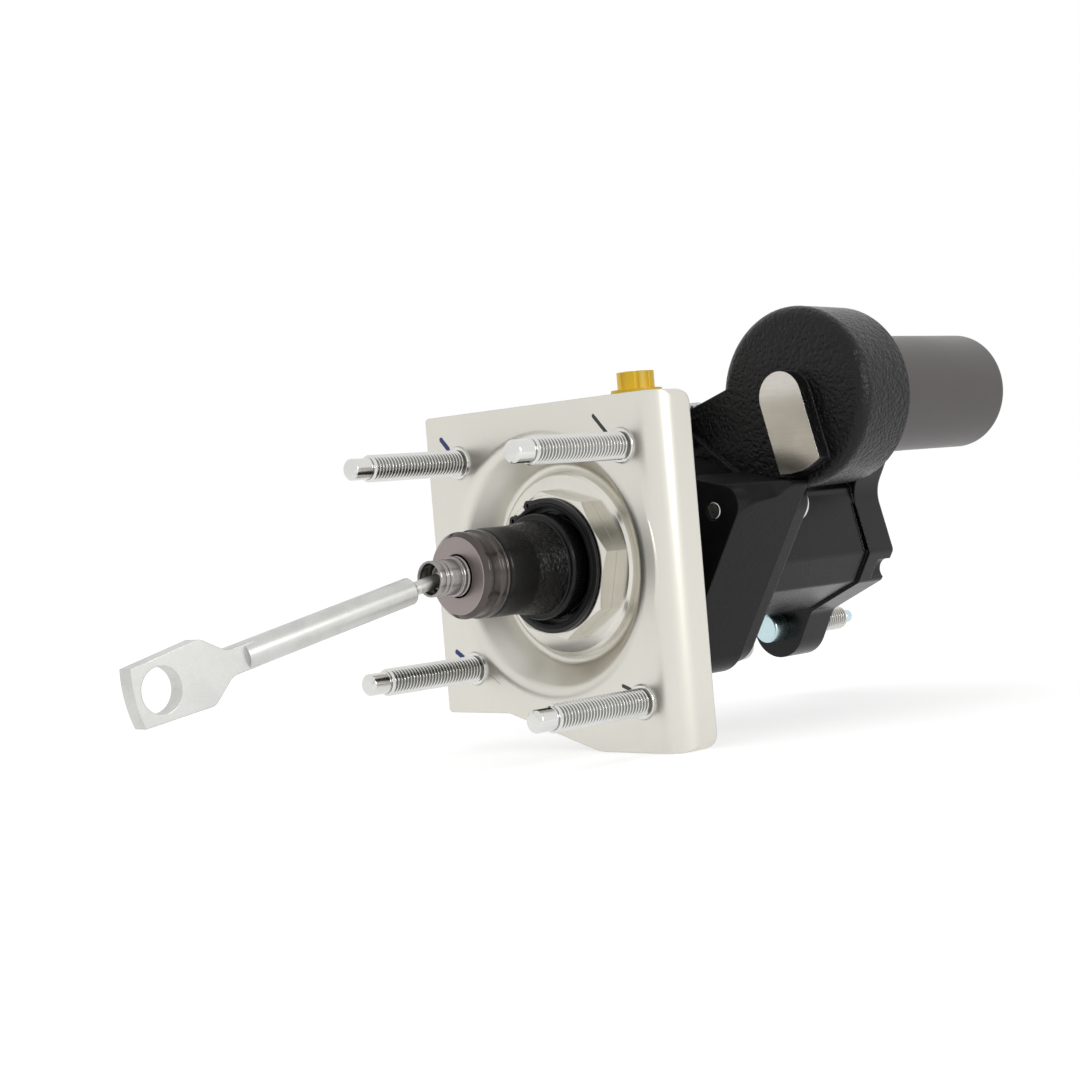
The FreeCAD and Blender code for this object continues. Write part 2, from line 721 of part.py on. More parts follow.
def neck_ring():
    """External snap ring round the neck, with a drilled ear at each side of its gap."""
    start = NECK_RING_FRONT
    end = NECK_RING_FRONT + NECK_RING_THICK
    ring = rod_y(NECK_RING_RADIUS, start, end)
    holes = []
    for side in (-1, 1):
        angle = radians(90 + side * NECK_RING_EAR_ANGLE)
        x = NECK_RING_EAR_REACH * cos(angle)
        z = NECK_RING_EAR_REACH * sin(angle)
        ring = ring.fuse(rod_y(NECK_RING_EAR_RADIUS, start, end, x, z))
        holes.append(rod_y(NECK_RING_EAR_RADIUS * 0.42, start - 1, end + 1, x, z))
    ring = ring.cut(rod_y(NECK_GROOVE_RADIUS, start - 1, end + 1))
    gap = NECK_RING_GAP / 2
    ring = ring.cut(box(-gap, gap, start - 1, end + 1, 0, NECK_RING_RADIUS + NECK_RING_EAR_RADIUS))
    for hole in holes:
        ring = ring.cut(hole)
    ring.rotate(vec(0, 0, 0), vec(0, 1, 0), -NECK_RING_TURN)
    return ring


def boot():
    """Rubber sleeve from the end cup's groove to its flange under the snap ring."""
    flange_front = RETAINER_FRONT + RETAINER_WIRE
    nose = END_CUP_REAR - BOOT_LIP_LENGTH
    inner = BOOT_NOSE_RADIUS - BOOT_WALL
    return turned([
        (nose, BOOT_GROOVE_RADIUS),
        (nose, BOOT_NOSE_RADIUS - 0.6),
        (nose + 0.8, BOOT_NOSE_RADIUS),
        (-18.0, BOOT_NOSE_RADIUS),
        (-5.0, BOOT_ROOT_RADIUS),
        (-5.0, BOOT_STEP_RADIUS - 0.7),
        (-4.2, BOOT_STEP_RADIUS),
        (flange_front - 4.2, BOOT_STEP_RADIUS),
        (flange_front - 3.0, BOOT_ROOT_RADIUS + 0.1),
        (flange_front, BOOT_ROOT_RADIUS + 0.1),
        (flange_front, BOOT_FLANGE_RADIUS),
        (flange_front + BOOT_FLANGE_THICK, BOOT_FLANGE_RADIUS),
        (flange_front + BOOT_FLANGE_THICK, BOOT_ROOT_RADIUS - BOOT_WALL),
        (-5.0, BOOT_ROOT_RADIUS - BOOT_WALL),
        (-18.0, inner),
        (END_CUP_REAR + 0.1, inner),
        (END_CUP_REAR + 0.1, BOOT_GROOVE_RADIUS),
    ])


# Power piston


def end_cup():
    """Hardened end piece on the piston rod, grooved for the boot's lip."""
    groove = END_CUP_REAR - BOOT_LIP_LENGTH
    return turned([
        (END_CUP_FACE, END_CUP_HOLE_RADIUS),
        (END_CUP_FACE, END_CUP_RADIUS - END_CUP_CHAMFER),
        (END_CUP_FACE + END_CUP_CHAMFER, END_CUP_RADIUS),
        (END_CUP_BAND, END_CUP_RADIUS),
        (END_CUP_BAND + 0.3, END_CUP_BAND_RADIUS),
        (groove - 1.5, END_CUP_BAND_RADIUS),
        (groove - 1.3, END_CUP_BAND_RADIUS - 0.4),
        (groove - 0.9, END_CUP_BAND_RADIUS - 0.4),
        (groove - 0.7, END_CUP_BAND_RADIUS),
        (groove, END_CUP_BAND_RADIUS),
        (groove, BOOT_GROOVE_RADIUS),
        (END_CUP_REAR, BOOT_GROOVE_RADIUS),
        (END_CUP_REAR, PLUNGER_RADIUS + RUNNING + 1.0),
        (END_CUP_HOLE_END, PLUNGER_RADIUS + RUNNING + 1.0),
        (END_CUP_HOLE_END, END_CUP_HOLE_RADIUS),
    ])


def power_piston():
    bore = PLUNGER_RADIUS + RUNNING
    bore_end = LEVER_Y + 8.0 + PLUNGER_TRAVEL
    groove = HEAD_REAR + (HEAD_THICK - SEAL_GROOVE_WIDTH) / 2
    socket = HEAD_FRONT - OUTPUT_ROD_SOCKET
    piston = turned([
        (END_CUP_REAR, bore),
        (END_CUP_REAR, ROD_RADIUS),
        (HEAD_REAR, ROD_RADIUS),
        (HEAD_REAR, BORE_RADIUS - RUNNING),
        (groove, BORE_RADIUS - RUNNING),
        (groove, BORE_RADIUS - RUNNING - SEAL_GROOVE_DEPTH),
        (groove + SEAL_GROOVE_WIDTH, BORE_RADIUS - RUNNING - SEAL_GROOVE_DEPTH),
        (groove + SEAL_GROOVE_WIDTH, BORE_RADIUS - RUNNING),
        (HEAD_FRONT, BORE_RADIUS - RUNNING),
        (HEAD_FRONT, OUTPUT_ROD_RADIUS),
        (socket, OUTPUT_ROD_RADIUS),
        (socket, 0),
        (bore_end, 0),
        (bore_end, bore),
    ])
    reach = LEVER_FOOT_RADIUS + 5.0
    half = LEVER_WIDTH / 2 + 0.6
    pocket = box(-half, half, LEVER_Y - reach, LEVER_Y + reach, 0, ROD_RADIUS + 1)
    pin_start = vec(-BORE_RADIUS, LEVER_Y, LEVER_PIVOT_HEIGHT)
    pin_hole = Part.makeCylinder(LEVER_PIN_RADIUS, 2 * BORE_RADIUS, pin_start, vec(1, 0, 0))
    return piston.cut(leaned(pocket)).cut(leaned(pin_hole))


def piston_seal():
    groove = HEAD_REAR + (HEAD_THICK - SEAL_GROOVE_WIDTH) / 2
    outer = BORE_RADIUS - RUNNING / 2 - 0.05
    return ring_y(outer, BORE_RADIUS - RUNNING - SEAL_GROOVE_DEPTH, groove, groove + SEAL_GROOVE_WIDTH)


def lever_pin():
    half = LEVER_PIN_LENGTH / 2
    pin = Part.makeCylinder(LEVER_PIN_RADIUS, LEVER_PIN_LENGTH, vec(-half, LEVER_Y, LEVER_PIVOT_HEIGHT), vec(1, 0, 0))
    return leaned(pin)


def output_rod():
    socket = HEAD_FRONT - OUTPUT_ROD_SOCKET
    return turned([
        (socket, 0),
        (socket, OUTPUT_ROD_RADIUS),
        (HEAD_FRONT, OUTPUT_ROD_RADIUS),
        (HEAD_FRONT, OUTPUT_ROD_RADIUS + 3.0),
        (HEAD_FRONT + 2.5, OUTPUT_ROD_RADIUS + 3.0),
        (HEAD_FRONT + 4.0, OUTPUT_ROD_RADIUS),
        (OUTPUT_ROD_TIP - 3.0, OUTPUT_ROD_RADIUS),
        (OUTPUT_ROD_TIP, OUTPUT_ROD_RADIUS - 3.0),
        (OUTPUT_ROD_TIP, 0),
    ])


def return_spring():
    return coil_y(RETURN_SPRING_WIRE, RETURN_SPRING_RADIUS, RETURN_SPRING_TURNS, HEAD_FRONT, SPRING_SEAT_Y)


def spring_seat():
    """Dished washer that guides the output rod and carries the return spring."""
    seat_end = SPRING_SEAT_Y + SPRING_SEAT_THICK
    seat = ring_y(BORE_RADIUS, OUTPUT_ROD_RADIUS + RUNNING, SPRING_SEAT_Y, seat_end)
    for step in range(4):
        angle = radians(45 + 90 * step)
        seat = seat.cut(rod_y(2.5, SPRING_SEAT_Y - 1, seat_end + 1, 11 * cos(angle), 11 * sin(angle)))
    return seat


def seat_ring():
    start = SPRING_SEAT_Y + SPRING_SEAT_THICK
    ring = ring_y(BORE_RADIUS + 0.9, BORE_RADIUS - 2.0, start, start + SEAT_RING_THICK)
    return ring.cut(box(-3, 3, start - 1, start + 4, -BORE_RADIUS - 2, -BORE_RADIUS + 4))


# Input plunger and pedal push rod


def input_plunger():
    """Valve plunger with a rolled socket tube for the push rod's ball."""
    end = LEVER_Y + 8.0
    floor = PIVOT_Y + BALL_RADIUS + GROMMET_WALL + 0.8
    plunger = turned([
        (floor, 0),
        (floor, TUBE_BORE_RADIUS),
        (TUBE_RIM, TUBE_BORE_RADIUS),
        (TUBE_RIM, TUBE_RADIUS - 0.4),
        (TUBE_RIM + 0.4, TUBE_RADIUS),
        (TUBE_RIM + 1.4, TUBE_RADIUS),
        (TUBE_RIM + 1.8, TUBE_RADIUS - 0.5),
        (TUBE_RIM + 2.8, TUBE_RADIUS - 0.5),
        (TUBE_RIM + 3.2, TUBE_RADIUS),
        (TUBE_RING_FRONT, TUBE_RADIUS),
        (TUBE_RING_FRONT, TUBE_RING_RADIUS),
        (TUBE_RING_REAR, TUBE_RING_RADIUS),
        (TUBE_RING_REAR, PLUNGER_RADIUS),
        (LEVER_Y - 9.0, PLUNGER_RADIUS),
        (LEVER_Y - 9.0, PLUNGER_RADIUS - 0.8),
        (end, PLUNGER_RADIUS - 0.8),
        (end, 0),
    ])
    return plunger


def rod_grommet():
    """Split ball seat that swivels in the socket tube."""
    inner = BALL_RADIUS + 0.15
    outer = inner + GROMMET_WALL
    pivot = vec(0, PIVOT_Y, 0)
    shell = Part.makeSphere(outer, pivot).cut(Part.makeSphere(inner, pivot))
    front = PIVOT_Y - GROMMET_MOUTH
    return shell.cut(box(-9, 9, front - 9, front, -9, 9))


def eye_blank(width):
    """Side view of the flattened eye, in rod stations, with its waist and bulged end."""
    shoulder = EYE_SHOULDER_HALF_WIDTH
    neck = EYE_NECK_HALF_WIDTH
    side = [
        (EYE_FLAT_END - 4, neck, 0),
        (EYE_NECK, neck, 6.0),
        (EYE_SHOULDER - 2.5, shoulder, 4.0),
        (EYE_END, EYE_HALF_WIDTH, 1.0),
    ]
    outline = side + [(y, -z, bend) for y, z, bend in reversed(side)]
    return prism_x(outline, -width / 2, width / 2)


def push_rod():
    """Forged rod: ball, thin neck, shaft and flattened eye, built level and then pitched."""
    shaft = turned([
        (0, 0),
        (0, PUSH_ROD_NECK_RADIUS),
        (PUSH_ROD_SHOULDER - 2.4, PUSH_ROD_NECK_RADIUS),
        (PUSH_ROD_SHOULDER - 2.0, PUSH_ROD_NECK_RADIUS - 0.4),
        (PUSH_ROD_SHOULDER - 1.0, PUSH_ROD_NECK_RADIUS - 0.4),
        (PUSH_ROD_SHOULDER - 0.6, PUSH_ROD_NECK_RADIUS),
        (PUSH_ROD_SHOULDER, PUSH_ROD_NECK_RADIUS),
        (PUSH_ROD_SHOULDER_END, PUSH_ROD_RADIUS),
        (EYE_NECK, PUSH_ROD_RADIUS),
        (EYE_NECK, 0),
    ])
    width = EYE_THICK
    flats = prism_x([(EYE_FLAT_END, -9, 0), (EYE_END, -9, 0), (EYE_END, 9, 0), (EYE_FLAT_END, 9, 0)], width / 2, 9)
    shaft = shaft.cut(flats).cut(flats.mirror(vec(0, 0, 0), vec(1, 0, 0)))
    bulge_radius = (EYE_HALF_WIDTH ** 2 + EYE_BULGE ** 2) / 2 / EYE_BULGE
    end_round = Part.makeCylinder(bulge_radius, width, vec(-width / 2, EYE_END - bulge_radius, 0), vec(1, 0, 0))
    eye = eye_blank(width).common(end_round)
    rod = fuse_all([shaft, eye, Part.makeSphere(BALL_RADIUS)])
    rod = rod.cut(Part.makeCylinder(EYE_HOLE_RADIUS, 20, vec(-10, EYE_CENTRE, 0), vec(1, 0, 0)))
    rod.rotate(vec(0, 0, 0), vec(0, 0, 1), 180)
    rod.rotate(vec(0, 0, 0), vec(1, 0, 0), ROD_REST_PITCH)
    rod.translate(vec(0, PIVOT_Y, 0))
    return rod


# Spool valve


def spool_sleeve():
    sleeve = ring_y(SPOOL_BORE_RADIUS, SPOOL_RADIUS + RUNNING, SLEEVE_REAR, SLEEVE_FRONT, 0, SPOOL_OFFSET)
    middle = (SLEEVE_REAR + SLEEVE_FRONT) / 2
    for step in (-1, 0, 1):
        station = middle + step * SLEEVE_GROOVE_PITCH
        groove = ring_y(SPOOL_BORE_RADIUS + 1, SPOOL_BORE_RADIUS - 1.2, station - 1.5, station + 1.5, 0, SPOOL_OFFSET)
        sleeve = sleeve.cut(groove)
        sleeve = sleeve.cut(Part.makeCylinder(1.2, 20, vec(-10, station, SPOOL_OFFSET), vec(1, 0, 0)))
    return leaned(sleeve)


def spool():
    """Valve spool: lands, and a long waist that the lever's fork straddles."""
    waist_rear = LEVER_TIP_Y - LEVER_TIP_RADIUS - PLUNGER_TRAVEL - SPOOL_LAND_GAP
    waist_front = LEVER_TIP_Y + LEVER_TIP_RADIUS + SPOOL_LAND_GAP
    end = SLEEVE_FRONT - SPOOL_SPRING_LENGTH
    land = SPOOL_RADIUS
    groove = SPOOL_RADIUS - 1.4
    profile = [
        (SPOOL_REAR, 0),
        (SPOOL_REAR, land),
        (waist_rear, land),
        (waist_rear, SPOOL_WAIST_RADIUS),
        (waist_front, SPOOL_WAIST_RADIUS),
        (waist_front, land),
        (SLEEVE_REAR + 8, land),
        (SLEEVE_REAR + 8, groove),
        (SLEEVE_REAR + 12, groove),
        (SLEEVE_REAR + 12, land),
        (SLEEVE_REAR + 17, land),
        (SLEEVE_REAR + 17, groove),
        (SLEEVE_REAR + 20, groove),
        (SLEEVE_REAR + 20, land),
        (end, land),
        (end, 0),
    ]
    return leaned(turned(profile, 0, SPOOL_OFFSET))


def spool_spring():
    start = SLEEVE_FRONT - SPOOL_SPRING_LENGTH
    return leaned(coil_y(0.5, SPOOL_RADIUS - 1.3, 5, start, SLEEVE_FRONT, 0, SPOOL_OFFSET))


def spool_plug():
    """Screw plug with a hexagon socket that closes the spool bore."""
    end = SPOOL_BORE_FRONT - 1
    plug = rod_y(SPOOL_BORE_RADIUS, SLEEVE_FRONT, end, 0, SPOOL_OFFSET)
    socket = []
    for step in range(6):
        angle = radians(60 * step)
        x = SPOOL_PLUG_SOCKET_RADIUS * cos(angle)
        z = SPOOL_PLUG_SOCKET_RADIUS * sin(angle)
        socket.append((x, SPOOL_OFFSET + z, 0))
    plug = plug.cut(prism_y(socket, end - SPOOL_PLUG_SOCKET_DEPTH, end + 1))
    return leaned(plug)


def valve_lever():
    """Forked lever, tilted towards the master cylinder while the piston is at rest."""
    pivot = LEVER_PIVOT_HEIGHT
    tip = pivot + LEVER_ARM
    half = LEVER_WIDTH / 2
    foot = Part.makeCylinder(LEVER_FOOT_RADIUS, LEVER_WIDTH, vec(-half, 0, pivot), vec(1, 0, 0))
    head = Part.makeCylinder(LEVER_TIP_RADIUS, LEVER_WIDTH, vec(-half, 0, tip), vec(1, 0, 0))
    web = prism_x([
        (-LEVER_THICK / 2, pivot, 0),
        (LEVER_THICK / 2, pivot, 0),
        (LEVER_TIP_RADIUS, tip, 0),
        (-LEVER_TIP_RADIUS, tip, 0),
    ], -half, half)
    lever = fuse_all([web, foot, head])
    gap = LEVER_FORK_GAP / 2
    depth = LEVER_FORK_DEPTH
    lever = lever.cut(box(-gap, gap, -depth, depth, tip - depth, tip + depth))
    hole = LEVER_PIN_RADIUS + SLIP
    lever = lever.cut(Part.makeCylinder(hole, LEVER_WIDTH + 2, vec(-half - 1, 0, pivot), vec(1, 0, 0)))
    lever.rotate(vec(0, 0, pivot), vec(1, 0, 0), -degrees(LEVER_SWING))
    lever.translate(vec(0, LEVER_Y, 0))
    return leaned(lever)


# Main housing


def lobed_flange():
    """Two-lobed flange that the master cylinder bolts against."""
    reach = hypot(LOBE_X, LOBE_Z)
    round_end = LOBE_RADIUS - 0.1

    def beside_lobe(along, radius):
        """Corner on the flank that runs through both lobes."""
        x = (LOBE_Z * LOBE_RADIUS + LOBE_X * along) / reach
        z = (LOBE_Z * along - LOBE_X * LOBE_RADIUS) / reach
        return (x, z, radius)

    half = [
        beside_lobe(reach + LOBE_RADIUS, round_end),
        beside_lobe(reach - LOBE_NECK, LOBE_NECK_RADIUS),
        (FLANGE_CORNER_X, FLANGE_CORNER_Z, 3.0),
        (FLANGE_HEEL_X, FLANGE_HEEL_Z, 2.0),
        beside_lobe(LOBE_THROAT - reach, LOBE_THROAT_RADIUS),
        beside_lobe(-reach - LOBE_RADIUS, round_end),
    ]
    outline = half + [(-x, -z, radius) for x, z, radius in half]
    flange = prism_y(outline, FLANGE_FRONT, FLANGE_REAR)
    return flange.cut(rod_y(SCALLOP_RADIUS, FLANGE_REAR - SCALLOP_DEPTH, FLANGE_REAR + 1, SCALLOP_X, SCALLOP_Z))


def barrel():
    """Cast body round the piston bore, flattened on both sides and underneath."""
    far = 2 * HOUSING_RADIUS
    flats = prism_y([
        (-far, far, 0),
        (HOUSING_SHOULDER_X, far, 0),
        (HOUSING_SHOULDER_X, HOUSING_SHOULDER_Z, 2.0),
        (HOUSING_CORNER_X, HOUSING_CORNER_Z, 3.0),
        (HOUSING_HEEL_X, HOUSING_HEEL_Z, 2.0),
        (-far, HOUSING_HEEL_Z - UNDERSIDE_SLOPE * (far + HOUSING_HEEL_X), 0),
    ], PARTING, FLANGE_FRONT)
    left = prism_y([
        (HOUSING_LEFT_SIDE, HOUSING_LEFT_TOP, 3.0),
        (0, HOUSING_LEFT_TOP, 0),
        (0, HOUSING_LEFT_BOTTOM, 0),
        (HOUSING_LEFT_SIDE, HOUSING_LEFT_BOTTOM, 3.0),
    ], PARTING, FLANGE_FRONT)
    return [rod_y(HOUSING_RADIUS, PARTING, FLANGE_FRONT).common(flats), left]


def crease():
    """Groove between the barrel's right side and the flange."""
    slope = (HOUSING_CORNER_X - HOUSING_SHOULDER_X) / (HOUSING_SHOULDER_Z - HOUSING_CORNER_Z)
    top = HOUSING_SHOULDER_X + (HOUSING_SHOULDER_Z - CREASE_TOP) * slope - CREASE_DEPTH
    bottom = HOUSING_SHOULDER_X + (HOUSING_SHOULDER_Z - CREASE_BOTTOM) * slope - CREASE_DEPTH
    return prism_y([
        (top, CREASE_TOP, 0),
        (top + 6, CREASE_TOP, 0),
        (bottom + 6, CREASE_BOTTOM, 0),
        (bottom, CREASE_BOTTOM, 0),
    ], FLANGE_FRONT - CREASE_WIDTH, FLANGE_FRONT)


def accumulator_boss():
    """Heavy round boss with a rolled front edge and a draft towards its rear."""
    steps = 6
    profile = [(PARTING, 0), (PARTING, BOSS_FACE_RADIUS)]
    for step in range(1, steps + 1):
        angle = pi / 2 * step / steps
        station = PARTING + BOSS_EDGE * (1 - cos(angle))
        radius = BOSS_FACE_RADIUS + (BOSS_RADIUS - BOSS_FACE_RADIUS) * sin(angle)
        profile.append((station, radius))
    profile += [(BOSS_REAR - 1.0, BOSS_REAR_RADIUS), (BOSS_REAR, BOSS_REAR_RADIUS - 1.0), (BOSS_REAR, 0)]
    return turned(profile, BOSS_X, BOSS_Z)


def boss_pad():
    """Raised machined pad on the boss, a half round with a leg down to the edge."""
    top = PARTING - PAD_HEIGHT
    pad = rod_y(PAD_RADIUS, top, PARTING + 1)
    leg = box(-PAD_RADIUS, PAD_RADIUS, top, PARTING + 1, -PAD_LEG_END - 2, 0)
    pad = fuse_all([pad, leg]).common(rod_y(PAD_LEG_END, top - 1, PARTING + 2))
    pad.rotate(vec(0, 0, 0), vec(0, 1, 0), -PAD_LEAN)
    pad.translate(vec(BOSS_X, 0, BOSS_Z))
    return pad


def web():
    """Cast web that ties the boss to the spool block."""
    corners = [
        (WEB_LEFT, WEB_BOTTOM, 0),
        (WEB_LEFT, WEB_TOP_LEFT, 4.0),
        (WEB_EDGE_X, WEB_EDGE_Z, 6.0),
        (BOSS_X - BOSS_RADIUS * 0.7, BOSS_Z + 8.0, 0),
        (BOSS_X, BOSS_Z, 0),
        (BOSS_X, WEB_BOTTOM, 0),
    ]
    return prism_y(corners, PARTING, PARTING + WEB_THICK)


def web_groove():
    """Straight cast groove across the web's face."""
    run = WEB_GROOVE_END_X - WEB_GROOVE_START_X
    rise = WEB_GROOVE_END_Z - WEB_GROOVE_START_Z
    half = WEB_GROOVE_WIDTH / 2
    groove = box(0, hypot(run, rise), PARTING - 1, PARTING + WEB_GROOVE_DEPTH, -half, half)
    groove.rotate(vec(0, 0, 0), vec(0, 1, 0), -degrees(atan2(rise, run)))
    groove.translate(vec(WEB_GROOVE_START_X, 0, WEB_GROOVE_START_Z))
    return groove


def main_housing():
    spool_block = rod_y(SPOOL_BLOCK_RADIUS, PARTING, SPOOL_BORE_FRONT, SPOOL_X, SPOOL_Z)
    neck_half = SPOOL_BLOCK_RADIUS
    spool_neck = box(SPOOL_X - neck_half, SPOOL_X + neck_half, PARTING, SPOOL_BORE_FRONT, 0, SPOOL_Z)
    lug_plate = prism_y(cover_outline(LUG_INSET), PARTING, PARTING + LUG_THICK)
    arm_left = PORT_X - PORT_BOSS_RADIUS
    arm_right = PORT_X + PORT_BOSS_RADIUS
    arm = box(arm_left, arm_right, PORT_Y, SPOOL_BORE_REAR, PORT_ARM_BOTTOM, PORT_ARM_TOP)
    port_boss = Part.makeCylinder(PORT_BOSS_RADIUS, PORT_TOP - PORT_ARM_BOTTOM, vec(PORT_X, PORT_Y, PORT_ARM_BOTTOM))
    side_start = vec(SPOOL_X, SIDE_PORT_Y, SPOOL_Z)
    side_boss = Part.makeCylinder(SIDE_BOSS_RADIUS, SPOOL_X - SIDE_PORT_FACE, side_start, vec(-1, 0, 0))
    nipple_boss = Part.makeCylinder(NIPPLE_BOSS_RADIUS, -NIPPLE_BOSS_FACE, vec(0, NIPPLE_Y, NIPPLE_Z), vec(-1, 0, 0))
    body = fuse_all(barrel() + [
        lobed_flange(), accumulator_boss(), boss_pad(), web(),
        spool_block, spool_neck, lug_plate, arm, port_boss, side_boss, nipple_boss,
    ])
    cuts = [
        rod_y(BORE_RADIUS, PARTING - 1, FLANGE_REAR + 1),
        ring_y(BORE_RADIUS + 0.9, BORE_RADIUS - 1, SPRING_SEAT_Y + SPRING_SEAT_THICK,
               SPRING_SEAT_Y + SPRING_SEAT_THICK + SEAT_RING_THICK),
        rod_y(SPOOL_BORE_RADIUS, SPOOL_BORE_REAR, SPOOL_BORE_FRONT + 1, SPOOL_X, SPOOL_Z),
        rod_y(CAN_RADIUS, CAN_SEAT, BOSS_REAR + 1, BOSS_X, BOSS_Z),
        Part.makeCylinder(PORT_HOLE_RADIUS, PORT_HOLE_DEPTH + 1, vec(PORT_X, PORT_Y, PORT_TOP - PORT_HOLE_DEPTH)),
        Part.makeCylinder(PORT_HOLE_RADIUS, PORT_HOLE_DEPTH, vec(SIDE_PORT_FACE - 1, SIDE_PORT_Y, SPOOL_Z), vec(1, 0, 0)),
        Part.makeCylinder(NIPPLE_RADIUS, NIPPLE_SEAT + 1, vec(NIPPLE_BOSS_FACE - 1, NIPPLE_Y, NIPPLE_Z), vec(1, 0, 0)),
        Part.makeCylinder(PASSAGE_PLUG_RADIUS, PASSAGE_PLUG_DEPTH + 1,
                          vec(SPOOL_X, PASSAGE_PLUG_Y, PASSAGE_PLUG_TOP - PASSAGE_PLUG_DEPTH)),
        web_groove(),
        crease(),
    ]
    slot_half = LEVER_WIDTH / 2 + 0.8
    slot = box(-slot_half, slot_half, LEVER_Y - 6, LEVER_Y + STROKE + 8, ROD_RADIUS, SPOOL_OFFSET)
    cuts.append(leaned(slot))
    for side in (-1, 1):
        cuts.append(rod_y(CYLINDER_STUD_KNURL_RADIUS, FLANGE_FRONT - 1, FLANGE_REAR + 1, side * LOBE_X, side * LOBE_Z))
    for x, z in BOLT_PLACES:
        cuts.append(rod_y(BOLT_RADIUS, PARTING - 1, PARTING + LUG_THICK + 1, x, z))
        cuts.append(rod_y(BOLT_HEAD_RADIUS + RUNNING, PARTING + LUG_THICK, PARTING + 3 * LUG_THICK, x, z))
    for cut in cuts:
        body = body.cut(cut)
    return body


# Pieces fixed to the housing


def accumulator():
    profile = [
        (CAN_SEAT, 0),
        (CAN_SEAT, CAN_RADIUS),
        (CAN_RING_Y, CAN_RADIUS),
        (CAN_RING_Y, CAN_RADIUS - 1.0),
        (CAN_RING_Y + 1.6, CAN_RADIUS - 1.0),
        (CAN_RING_Y + 1.6, CAN_RADIUS),
    ]
    for step in range(6):
        angle = pi / 2 * step / 5
        station = CAN_END - CAN_EDGE * (1 - sin(angle))
        profile.append((station, CAN_RADIUS - CAN_EDGE * (1 - cos(angle))))
    profile.append((CAN_END, 0))
    return turned(profile, BOSS_X, BOSS_Z)


def accumulator_ring():
    return ring_y(CAN_RADIUS, CAN_RADIUS - 1.0, CAN_RING_Y, CAN_RING_Y + 1.6, BOSS_X, BOSS_Z)


def cylinder_stud(x, z):
    """Stud for the master cylinder, with a round head before the flange."""
    shoulder = CYLINDER_STUD_THREAD_END
    return turned([
        (CYLINDER_STUD_HEAD, 0),
        (CYLINDER_STUD_HEAD, CYLINDER_STUD_HEAD_RADIUS - 0.6),
        (CYLINDER_STUD_HEAD + 0.6, CYLINDER_STUD_HEAD_RADIUS),
        (FLANGE_FRONT, CYLINDER_STUD_HEAD_RADIUS),
        (FLANGE_FRONT, CYLINDER_STUD_KNURL_RADIUS),
        (FLANGE_REAR, CYLINDER_STUD_KNURL_RADIUS),
        (FLANGE_REAR, CYLINDER_STUD_RADIUS),
        (shoulder - 1.5, CYLINDER_STUD_RADIUS),
        (shoulder, CYLINDER_STUD_RADIUS - 1.5),
        (shoulder, CYLINDER_STUD_DOG_RADIUS),
        (CYLINDER_STUD_TIP - 0.6, CYLINDER_STUD_DOG_RADIUS),
        (CYLINDER_STUD_TIP, CYLINDER_STUD_DOG_RADIUS - 0.6),
        (CYLINDER_STUD_TIP, 0),
    ], x, z)


def cylinder_studs():
    return Part.makeCompound([cylinder_stud(side * LOBE_X, side * LOBE_Z) for side in (1, -1)])


def port_plug():
    """Shipping plug for a port, built upright at the origin with a fluted head."""
    flange = Part.makeCylinder(PLUG_FLANGE_RADIUS, PLUG_FLANGE_THICK)
    head = Part.makeCylinder(PLUG_HEAD_RADIUS, PLUG_HEAD_HEIGHT)
    for step in range(PLUG_FLUTES):
        angle = 2 * pi * step / PLUG_FLUTES
        x = (PLUG_HEAD_RADIUS + 0.6) * cos(angle)
        y = (PLUG_HEAD_RADIUS + 0.6) * sin(angle)
        head = head.cut(Part.makeCylinder(1.3, PLUG_HEAD_HEIGHT, vec(x, y, PLUG_FLANGE_THICK)))
    head = head.cut(Part.makeCylinder(PLUG_HEAD_RADIUS - 1.8, PLUG_HEAD_HEIGHT, vec(0, 0, PLUG_FLANGE_THICK)))
    shank = Part.makeCylinder(PORT_HOLE_RADIUS, PLUG_SHANK, vec(0, 0, -PLUG_SHANK))
    return fuse_all([flange, head, shank])


def port_plugs():
    top = port_plug()
    top.translate(vec(PORT_X, PORT_Y, PORT_TOP))
    side = port_plug()
    side.rotate(vec(0, 0, 0), vec(0, 1, 0), -90)
    side.translate(vec(SIDE_PORT_FACE, SIDE_PORT_Y, SPOOL_Z))
    return Part.makeCompound([top, side])


def tube_x(outer, inner, start, end, y, z):
    tube = Part.makeCylinder(outer, end - start, vec(start, y, z), vec(1, 0, 0))
    return tube.cut(Part.makeCylinder(inner, end - start, vec(start, y, z), vec(1, 0, 0)))


def return_nipple():
    """Pressed-in hose nipple for the return line, with one rolled barb."""
    seat_end = NIPPLE_BOSS_FACE + NIPPLE_SEAT
    tube = tube_x(NIPPLE_RADIUS, NIPPLE_BORE_RADIUS, NIPPLE_END, seat_end, NIPPLE_Y, NIPPLE_Z)
    barb = tube_x(NIPPLE_RADIUS + 0.8, NIPPLE_BORE_RADIUS, NIPPLE_END + 2, NIPPLE_END + 4, NIPPLE_Y, NIPPLE_Z)
    return fuse_all([tube, barb])


def return_cap():
    """Shipping cap pushed into the hose nipple."""
    stem = Part.makeCylinder(NIPPLE_BORE_RADIUS, 6, vec(NIPPLE_END, NIPPLE_Y, NIPPLE_Z), vec(1, 0, 0))
    head = Part.makeCylinder(NIPPLE_RADIUS + 1.0, 2, vec(NIPPLE_END - 2, NIPPLE_Y, NIPPLE_Z), vec(1, 0, 0))
    return fuse_all([stem, head])


